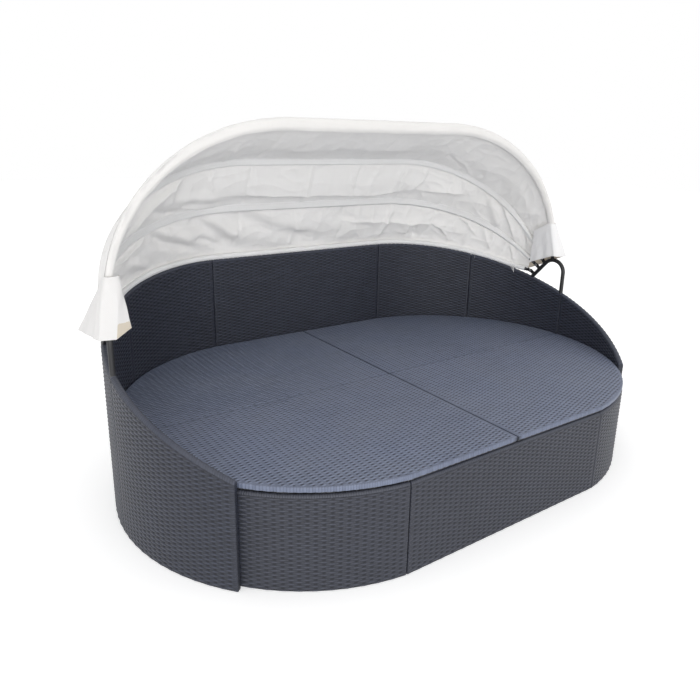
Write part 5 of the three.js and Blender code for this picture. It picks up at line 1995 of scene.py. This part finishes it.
@dataclass(frozen=True)
class Cuff:
    """The loose flared cloth over one end of the bows: two leaves and the fold between them."""

    side: Side
    bow: Bow
    shape: CuffShape
    rear_drop: float = 0.044
    foot_width: float = 0.182
    sleeve: float = 0.0191
    outside: float = 0.0129
    turned_rise: float = 0.017
    bracket_x: float = 1.0479
    leaf_share: float = 7.0 / 18.0
    wave: float = 0.0018
    crease: float = 0.0030
    crumple: float = 0.0014
    fold_calm: float = 0.35
    columns: int = 144
    rows: int = 60
    thickness: float = 0.0014

    def middle(self) -> Array:
        """Hangs the cloth over the foot of the bow.

        Returns:
            The cloth's middle surface, rows by columns, on the right-hand side.
        """
        shape = self.shape
        pivot_y, pivot_z = self.bow.pivot[1], self.bow.pivot[2]
        u = np.linspace(0.0, 1.0, self.columns + 1)[None, :]
        v = np.linspace(0.0, 1.0, self.rows + 1)[:, None]
        is_outer = u > 0.5
        back = np.maximum(1.0 - np.where(is_outer, 1.0 - u, u) / self.leaf_share, 0.0)
        fold_share = np.clip((u - self.leaf_share) / (1.0 - 2.0 * self.leaf_share), 0.0, 1.0)
        low_rear = np.where(is_outer, shape.outer_rear, shape.inner_rear)
        fold_lows = (shape.inner_front, shape.crease_low, shape.outer_front)
        low_front = np.interp(fold_share, (0.0, 0.5, 1.0), fold_lows)
        top = shape.top - self.rear_drop * back
        rise = top + (low_front + (low_rear - low_front) * back - top) * v
        bow_y = pivot_y + rise / math.tan(math.radians(self.bow.tilt))
        front = bow_y - self.sleeve - shape.front_flare * v
        foot_width = self.foot_width + np.where(is_outer, shape.outer_extra, shape.inner_extra)
        width = shape.top_width + (foot_width - shape.top_width) * v
        y_leaf = front + self.sleeve + (width - self.sleeve) * back
        top_x = self._bow_x(pivot_z + shape.top)
        off = shape.stand_off * np.sin(back * math.pi / 2.0)
        foot_x = self.bracket_x + self.outside + shape.outer_flare * (0.5 + 0.5 * back)
        x_out = (top_x + self.sleeve + off) * (1.0 - v) + foot_x * v
        x_in = top_x - self.sleeve - shape.inner_gap - shape.inner_flare * v
        turn = math.pi * fold_share
        cosine, sine = np.cos(turn), np.maximum(np.sin(turn), 0.0)
        reach = np.sign(cosine) * np.abs(cosine) ** (2.0 / 3.0)
        x_fold = x_in + (x_out - x_in) * (1.0 - reach) / 2.0
        y_fold = front + self.sleeve - self.sleeve * sine ** (2.0 / 3.0)
        if shape.crease_inset > 0.0:
            sides = (x_in, x_out - shape.crease_inset, x_out)
            x_sharp, y_sharp = self._creased_fold(fold_share, sides, front)
            sharp = smooth_step(0.02, 0.55, v)
            x_fold = x_fold + (x_sharp - x_fold) * sharp
            y_fold = y_fold + (y_sharp - y_fold) * sharp
        on_leaf = np.broadcast_to(back > 0.0, rise.shape)
        x_leaf = np.where(is_outer, x_out, x_in)
        x = np.where(on_leaf, x_leaf, x_fold)
        y = np.where(on_leaf, y_leaf, y_fold)
        middle = np.stack([x, y, pivot_z + rise], -1)
        return middle + self._waves(middle, u, v, on_leaf)

    def _creased_fold(self, share: Array, sides: Sequence[Array], front: Array) -> tuple[Array, Array]:
        """The fold drawn to a sharp edge.

        Args:
            share: share of the way round the fold.
            sides: distances out of the inner leaf, the edge and the outer leaf.
            front: the fold's foremost place.

        Returns:
            Distances out and places back of the creased fold.
        """
        x_in, edge_x, x_out = sides
        inner = np.clip(share * 2.0, 0.0, 1.0)
        outer = np.clip(share * 2.0 - 1.0, 0.0, 1.0)
        leaf_y = front + self.sleeve
        x = np.where(share < 0.5, x_in + (edge_x - x_in) * inner, edge_x + (x_out - edge_x) * outer)
        y = np.where(share < 0.5, leaf_y + (front - leaf_y) * inner, front + (leaf_y - front) * outer)
        return x, y

    def _turned_out(self, middle: Array) -> Array:
        """Finds where the lining of the inner corner shows.

        Args:
            middle: the cloth's middle surface.

        Returns:
            Whether each point is turned out: between the fold's edge and the inner leaf's height.
        """
        u = np.linspace(0.0, 1.0, self.columns + 1)[None, :]
        low = self.bow.pivot[2] + self.shape.inner_front + self.turned_rise
        inner = (u > self.leaf_share) & (u < 0.499)
        return inner & (middle[..., 2] < low) & (self.shape.crease_inset > 0.0)

    def _waves(self, middle: Array, u: Array, v: Array, on_leaf: Array) -> Array:
        """Soft upright folds that grow toward the lower edge, and a few crumples.

        Args:
            middle: the cloth's middle surface.
            u: share of the way round.
            v: share of the way down.
            on_leaf: whether a point is on a leaf and not on the fold.

        Returns:
            How far each point moves.
        """
        normal = unit(np.cross(np.gradient(middle, axis=1), np.gradient(middle, axis=0)))
        upright = np.sin(u * math.pi * 11.0 + 0.6) * self.wave * v
        off_crease = (u - 0.66 - 0.03 * v) / 0.022
        crease = np.exp(-(off_crease**2)) * self.crease * smooth_step(0.05, 0.5, v)
        spread = stacked(u * 0.4, v * 0.2, 0.0)
        crumple = ripple(spread, (26.0, 20.0, 1.0), 5.0) * self.crumple
        calm = np.where(on_leaf, 1.0, self.fold_calm)
        return normal * ((upright - crease + crumple) * calm)[..., None]

    def _bow_x(self, z: float) -> float:
        """How far out the front bow stands at a height."""
        line = self.bow.line(np.linspace(0.0, 0.3, 3001))
        return float(line[np.argmax(line[:, 2] >= z), 0])

    def build(self) -> tuple[Piece, float, tuple[float, float]]:
        """Makes the cuff.

        Returns:
            The piece, its flat area, and the width and length that it was cut from.
        """
        middle = self.middle()
        middle[..., 0] *= self.side.value
        length, height = cut_size(middle)
        u = np.linspace(0.0, length, self.columns + 1)[None, :]
        v = np.linspace(0.0, height, self.rows + 1)[:, None]
        edge = np.minimum(np.minimum(u, length - u), np.minimum(v, height - v))
        turned = self._turned_out(middle).astype(float)
        outside = stacked(u, v, edge + turned)
        inside = stacked(u, v, edge + 1.0)
        centre = middle.mean((0, 1))
        facing = unit(np.cross(np.gradient(middle, axis=0), np.gradient(middle, axis=1)))
        upper_out = ((middle - centre) * facing)[..., :2].sum() > 0.0
        faces = (outside, inside) if upper_out else (inside, outside)
        draft = MeshDraft()
        area = thin_sheet(draft, middle, faces[0], self.thickness, faces[1])
        piece = draft.object(f"cuff_{self.side.word}_cloth", sharp=80.0)
        # The left cuff takes the cloth painted darker and the right the cloth painted lighter, standing in
        # for the light on each side.
        (PAINTED_SHADE_CUFF_CLOTH if self.side is Side.LEFT else PAINTED_LIGHT_CUFF_CLOTH).dress(piece)
        return piece, area, (length, height)


@dataclass(frozen=True)
class Canopy:
    """The folding canopy: bows, gores, sleeves, hem and cuffs."""

    rear: Bow = Bow("bow_rear", "daybed_frame", (1.0155, 0.16889, 0.61022))
    second: Bow = Bow("bow_second", "second_bow", (1.0193, 0.140854, 0.643260), 0.515, 34.0)
    third: Bow = Bow("bow_third", "third_bow", (1.0232, 0.112451, 0.676703), 0.550, 54.0)
    front: Bow = Bow("bow_front", "front_bow", (1.0283, 0.057851, 0.702880), 0.574, 86.4)
    keep: float = 0.25
    packing_places: tuple[float, ...] = (0.235, 0.33, 0.43, 0.53, 0.64, 0.76)
    packing_depth: float = 0.0035
    packing_width: float = 0.012

    def build(self) -> None:
        """Makes the bows, then the cloth that hangs on them."""
        for bow in (self.rear, self.second, self.third, self.front):
            bow.build()
        for side in Side:
            Bracket(side, (self.rear, self.second, self.third, self.front)).build()
        self._gores()
        self._cuffs()

    def _packing(self, lean: float) -> tuple[Fold, ...]:
        """Creases across the cloth from lying folded in its box.

        Args:
            lean: how far each crease leans, as a share of the cloth's length.

        Returns:
            The creases as folds.
        """
        made = []
        for k, place in enumerate(self.packing_places):
            stops = ((place, -0.1), (place + lean, 0.5), (place - lean, 1.1))
            depth = self.packing_depth if k % 2 else -self.packing_depth
            made.append(Fold(stops, depth, self.packing_width, LEDGE))
        return tuple(made)

    def _gores(self) -> None:
        """Makes the three gores, their sleeves and the hem."""
        hem = FrontHem(self.front).build()
        third = BowSleeve(self.third, start=0.058).build("third_bow")
        second = BowSleeve(self.second, start=0.044).build("second_bow")
        rear = BowSleeve(self.rear, start=0.030, spread=0.0).build("daybed_frame")
        ends = FrayedEnds(self.rear).build()
        folds = FRONT_FOLDS + self._packing(0.001)
        gore = Gore(
            "canopy_gore_front", self.front, self.third, folds, 0.0036,
            front_inset=0.010, fold_strength=1.2, seed=2.0,
        )
        self._hang(gore)
        folds = MIDDLE_FOLDS + self._packing(0.002)
        gore = Gore(
            "canopy_gore_middle", self.third, self.second, folds, 0.0045,
            start=0.056, rear_start=0.040, seed=12.0,
        )
        self._hang(gore)
        folds = REAR_FOLDS + self._packing(-0.003)
        gore = Gore(
            "canopy_gore_rear", self.second, self.rear, folds, 0.0055,
            start=0.040, rear_start=0.020, seed=22.0,
        )
        piece, area, flat = gore.build()
        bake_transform(piece)
        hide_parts(gore.name)
        log.info("%s: %d faces between two bodies", piece.name, len(piece.data.polygons))

    def _hang(self, gore: Gore) -> None:
        """Makes a gore that rides its front bow.

        Args:
            gore: the gore.
        """
        piece, area, flat = gore.build()
        settle(piece, gore.front.body, [gore.name])
        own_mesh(piece)

    def _cuffs(self) -> None:
        """Makes the loose cuffs over the ends of the bows."""
        for side, shape in ((Side.LEFT, LEFT_CUFF), (Side.RIGHT, RIGHT_CUFF)):
            piece, area, flat = Cuff(side, self.front, shape).build()
            settle(piece, "front_bow", [f"cuff_{side.word}"])


# Brackets and bolts


@dataclass(frozen=True)
class Bracket:
    """The bent tube on the rim of one side, its welded lugs and the bolts through them."""

    side: Side
    bows: tuple[Bow, ...]
    front_run: float = 0.012
    spread: float = 0.1605
    rise: float = 0.146
    bend: float = 0.055
    tube: float = 0.0092
    sunk: float = 0.012
    lug_width: float = 0.017
    lug_thickness: float = 0.004
    lug_reach: float = 0.024
    tongue_inset: float = 0.0038
    bore: float = 0.0044
    lug_overrun: float = 0.003
    sides: int = 24
    weld_seat: float = 0.0062
    lug_limit: float = 0.03
    weld_radius: float = 0.0016
    weld_share: float = 0.46
    weld_sides: int = 8

    def _line(self) -> Array:
        """Follows the tube on the right-hand side, from the front foot to the rear one.

        Returns:
            Points of its centre line.
        """
        wall = PLAN.radius + PLAN.shell_gap + PLAN.panel / 2.0
        angles = np.array([self.front_run / wall, math.asin((self.front_run + self.spread) / wall)])
        x, y = PLAN.centre_x + wall * np.cos(angles), wall * np.sin(angles) + PLAN.shift
        feet = stacked(x, y, PLAN.rim(angles))
        flat = feet[1] - feet[0]
        run = math.hypot(flat[0], flat[1])
        ahead = np.array([flat[0] / run, flat[1] / run, 0.0])
        centre_z = feet[0][2] + self.rise - self.bend
        away = math.hypot(run - self.bend, feet[1][2] - centre_z)
        bearing = math.atan2(feet[1][2] - centre_z, run - self.bend)
        stop = bearing + math.acos(self.bend / away)
        turns = np.linspace(math.pi, stop, 25)[:, None]
        bent = feet[0] * np.array([1.0, 1.0, 0.0]) + ahead * (self.bend + self.bend * np.cos(turns))
        bent[:, 2] = centre_z + self.bend * np.sin(turns[:, 0])
        slope = unit(feet[1] - bent[-1])
        low = feet[0] - UP * self.sunk
        start = np.linspace(low, bent[0], 8)[:-1]
        end = np.linspace(bent[-1], feet[1] + slope * self.sunk, 12)[1:]
        return np.concatenate([start, bent, end])

    def _lugs(self) -> list[tuple[Array, Array]]:
        """Finds the lugs on the right-hand side.

        Returns:
            The root and the eye of each lug.
        """
        line = self._line()
        made = []
        for bow in self.bows:
            eye = np.array(bow.pivot) + OUT * self.tongue_inset
            away = np.hypot(line[:, 1] - eye[1], line[:, 2] - eye[2])
            near = line[int(np.argmin(np.abs(away - self.lug_reach) + (away > self.lug_limit)))]
            made.append((np.array([eye[0], near[1], near[2]]), eye))
        return made

    def build(self) -> None:
        """Makes the bracket with its lugs and weld beads, and its four bolts."""
        line = self._line()
        level = unit(np.cross(line[-1] - line[0], UP))
        mirror = np.array([self.side.value, 1.0, 1.0])
        draft = MeshDraft()
        draft.bar(swept(line, np.full(len(line), self.tube), level, self.sides) * mirror)
        for root, eye in self._lugs():
            lug = Strap(root, eye, self.lug_width, self.lug_thickness, self.bore, self.lug_overrun)
            lug.add_to(draft, self.side)
            self._weld(draft, root, eye, mirror)
        piece = draft.object(f"bracket_{self.side.word}_tube", sharp=40.0)
        COAT.dress(piece)
        settle(piece, "daybed_frame", [f"bracket_{self.side.word}"])
        for bow in self.bows:
            Bolt(bow, self.side).build()

    def _weld(self, draft: MeshDraft, root: Array, eye: Array, mirror: Array) -> None:
        """Adds a weld bead across each face of a lug, where it leaves the tube.

        Args:
            draft: where the beads are added.
            root: the lug's root on the tube's centre line.
            eye: the middle of its hole.
            mirror: factors that bring the right-hand side to this side.
        """
        ahead = unit(eye - root)
        across = np.array([0.0, -ahead[2], ahead[1]])
        t = np.linspace(-1.0, 1.0, 15)
        for face in (-1.0, 1.0):
            seat = root + ahead * self.weld_seat + OUT * (face * self.lug_thickness / 2.0)
            line = seat + across * (t * self.lug_width * self.weld_share)[:, None]
            bead = np.sqrt(np.maximum(1.0 - t**4, 0.04)) * (1.0 + 0.12 * np.sin(t * 22.0))
            draft.bar(swept(line, self.weld_radius * bead, OUT, self.weld_sides) * mirror)


@dataclass(frozen=True)
class Bolt:
    """A hexagon bolt through a lug and a bow's flat end, with washers and a lock nut."""

    bow: Bow
    side: Side
    lug_offset: float = 0.0038
    lug_thickness: float = 0.004
    tongue_thickness: float = 0.003
    gap: float = 0.0003
    head: float = 0.004
    washer: float = 0.0009
    radius: float = 0.004
    head_radius: float = 0.0068
    washer_radius: float = 0.0069
    edge_break: float = 0.0004
    steps: int = 36
    head_turn: float = 0.2

    def _profile(self) -> list[tuple[float, float, bool]]:
        """Goes along the bolt from its head to its nut.

        Returns:
            Distance out along X, reach and whether it is six-sided, for each ring.
        """
        lug = self.bow.pivot[0] + self.lug_offset
        out = lug + self.lug_thickness / 2.0 + self.gap
        back = self.bow.pivot[0] - self.tongue_thickness / 2.0 - self.gap
        fine = self.edge_break
        return [
            (out + self.head, self.head_radius * 0.80, True),
            (out + self.head - fine * 1.5, self.head_radius, True),
            (out + self.washer, self.head_radius, True),
            (out + self.washer, self.washer_radius, False),
            (out, self.washer_radius, False),
            (out, self.radius, False),
            (back, self.radius, False),
            (back, self.washer_radius, False),
            (back - self.washer, self.washer_radius, False),
            (back - self.washer, self.head_radius, True),
            (back - self.head + fine * 2.0, self.head_radius, True),
            (back - self.head, self.head_radius * 0.74, False),
        ]

    def build(self) -> Piece:
        """Makes the bolt.

        Returns:
            The finished piece, riding the frame.
        """
        turn = np.linspace(0.0, FULL_TURN, self.steps, endpoint=False) + self.head_turn
        corner = math.cos(math.pi / 6.0) / np.cos((turn % (math.pi / 3.0)) - math.pi / 6.0)
        rings = []
        for x, reach, six_sided in self._profile():
            r = reach * corner if six_sided else reach
            y = self.bow.pivot[1] + r * np.cos(turn)
            z = self.bow.pivot[2] + r * np.sin(turn)
            rings.append(stacked(self.side.value * x, y, z))
        draft = MeshDraft()
        draft.bar(np.stack(rings))
        piece = draft.object(f"{self.bow.name}_hex_bolt_{self.side.word}", sharp=25.0)
        PLATED.dress(piece)
        return settle(piece, "daybed_frame", [f"{self.bow.name}_bolt_{self.side.word}"])


# What keeps its solid, and the studio


@dataclass(frozen=True)
class Metalwork:
    """The solids that stay as they are and only take a finish."""

    nodes: dict[str, Piece]

    def dress(self) -> None:
        """Gives every solid that still shows its finish."""
        for name, node in self.nodes.items():
            if node.hide_render:
                continue
            finish = GLIDE if name.startswith("foot_") else COAT
            finish.dress(node)
            log.info("%s: %s", name, finish.name)


@dataclass(frozen=True)
class Studio:
    """Floor, backdrop, lamps and the camera."""

    lens: float = 33.28
    shift: tuple[float, float] = (-0.0174, -0.0326)
    eye: Triple = (-1.5129, -1.8995, 1.2397)
    yaw: float = 36.06
    pitch: float = 16.64
    roll: float = 1.44
    floor_size: float = 30.0
    floor_gap: float = 0.0005
    floor_shade: float = 0.92
    floor_glow: float = 0.35
    world: float = 0.88
    key_place: Triple = (-3.3, -4.0, 1.0)
    key_aim: Triple = (0.0, 0.2, 0.7)
    key_power: float = 64.0
    key_size: float = 2.0
    fill_place: Triple = (-0.2, -4.6, 0.9)
    fill_aim: Triple = (0.0, 0.2, 0.8)
    fill_power: float = 30.0
    fill_size: float = 2.5

    def clear(self) -> None:
        """Removes what a new Blender file holds."""
        for item in list(bpy.context.scene.objects):
            if "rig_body" not in item and not item.name.startswith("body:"):
                bpy.data.objects.remove(item)

    def build(self) -> None:
        """Sets up the studio."""
        self._world()
        self._floor()
        self._lamp("key", self.key_place, self.key_aim, self.key_power, self.key_size)
        self._lamp("fill", self.fill_place, self.fill_aim, self.fill_power, self.fill_size)
        self._camera()
        bpy.context.scene.view_settings.view_transform = "Standard"

    def _white_to_eye(self, pad: NodePad) -> bpy.types.NodeSocket:
        """Tells the background that the eye sees from the light on the object.

        Args:
            pad: the nodes of the background's material or world.

        Returns:
            1 where the camera, or a mirror or glass before it, looks at the background.
        """
        path = pad.node("ShaderNodeLightPath").outputs
        seen = pad.larger(path["Is Camera Ray"], path["Is Transmission Ray"])
        return pad.larger(seen, path["Is Glossy Ray"])

    def _world(self) -> None:
        """Plain white sky."""
        world = bpy.data.worlds.new("studio")
        world.use_nodes = True
        world.node_tree.nodes.clear()
        pad = NodePad(world.node_tree)
        strength = pad.between(self._white_to_eye(pad), self.world, 1.0)
        back = pad.fill(pad.node("ShaderNodeBackground"), Color=(1.0, 1.0, 1.0, 1.0), Strength=strength)
        pad.fill(pad.node("ShaderNodeOutputWorld"), Surface=back.outputs[0])
        bpy.context.scene.world = world

    def _floor(self) -> None:
        """White floor that keeps the shadow."""
        mesh = bpy.data.meshes.new("floor")
        half = self.floor_size / 2.0
        corners = [(-half, -half, 0.0), (half, -half, 0.0), (half, half, 0.0), (-half, half, 0.0)]
        mesh.from_pydata(corners, [], [(0, 1, 2, 3)])
        floor = placed("floor", mesh)
        floor.location = (0.0, 0.0, -self.floor_gap)
        pad, shader, material = plain_material("floor paint")
        glow = pad.times(self._white_to_eye(pad), self.floor_glow)
        pad.fill(
            shader,
            Base_Color=(self.floor_shade,) * 3 + (1.0,),
            Roughness=0.9,
            Emission_Color=pad.join(glow, glow, glow),
            Emission_Strength=1.0,
        )
        mesh.materials.append(material)

    def _lamp(self, name: str, place: Triple, aim: Triple, power: float, size: float) -> None:
        """Adds a soft area lamp.

        Args:
            name: name of the lamp.
            place: where it stands.
            aim: the point that it looks at.
            power: its power in watts.
            size: length of its sides.
        """
        data = bpy.data.lights.new(name, "AREA")
        data.energy = power
        data.size = size
        lamp = placed(name, data)
        lamp.location = place
        lamp.rotation_euler = (Vector(aim) - Vector(place)).to_track_quat("-Z", "Y").to_euler()

    def _camera(self) -> None:
        """The camera at the photograph's place."""
        yaw, pitch, roll = (math.radians(a) for a in (self.yaw, self.pitch, self.roll))
        flat = math.cos(pitch)
        ahead = np.array([math.sin(yaw) * flat, math.cos(yaw) * flat, -math.sin(pitch)])
        level = np.array([math.cos(yaw), -math.sin(yaw), 0.0])
        up = np.cross(level, ahead)
        right = math.cos(roll) * level + math.sin(roll) * up
        upright = -math.sin(roll) * level + math.cos(roll) * up
        data = bpy.data.cameras.new("camera")
        data.lens = self.lens
        data.sensor_width = 36.0
        data.shift_x, data.shift_y = self.shift
        camera = placed("camera", data)
        rows = np.eye(4)
        rows[:3] = stacked(right, upright, -ahead, np.array(self.eye))
        camera.matrix_world = Matrix(rows.tolist())
        bpy.context.scene.camera = camera


def main() -> None:
    """Builds every sub-assembly in order."""
    studio = Studio()
    studio.clear()
    studio.build()
    Skirt().build()
    Shell().build()
    for place in ("front", "rear"):
        for side in Side:
            SeatPanel(place, side).build()
    Canopy().build()
    Metalwork(frame["nodes"]).dress()


if __name__ == "__main__":
    main()
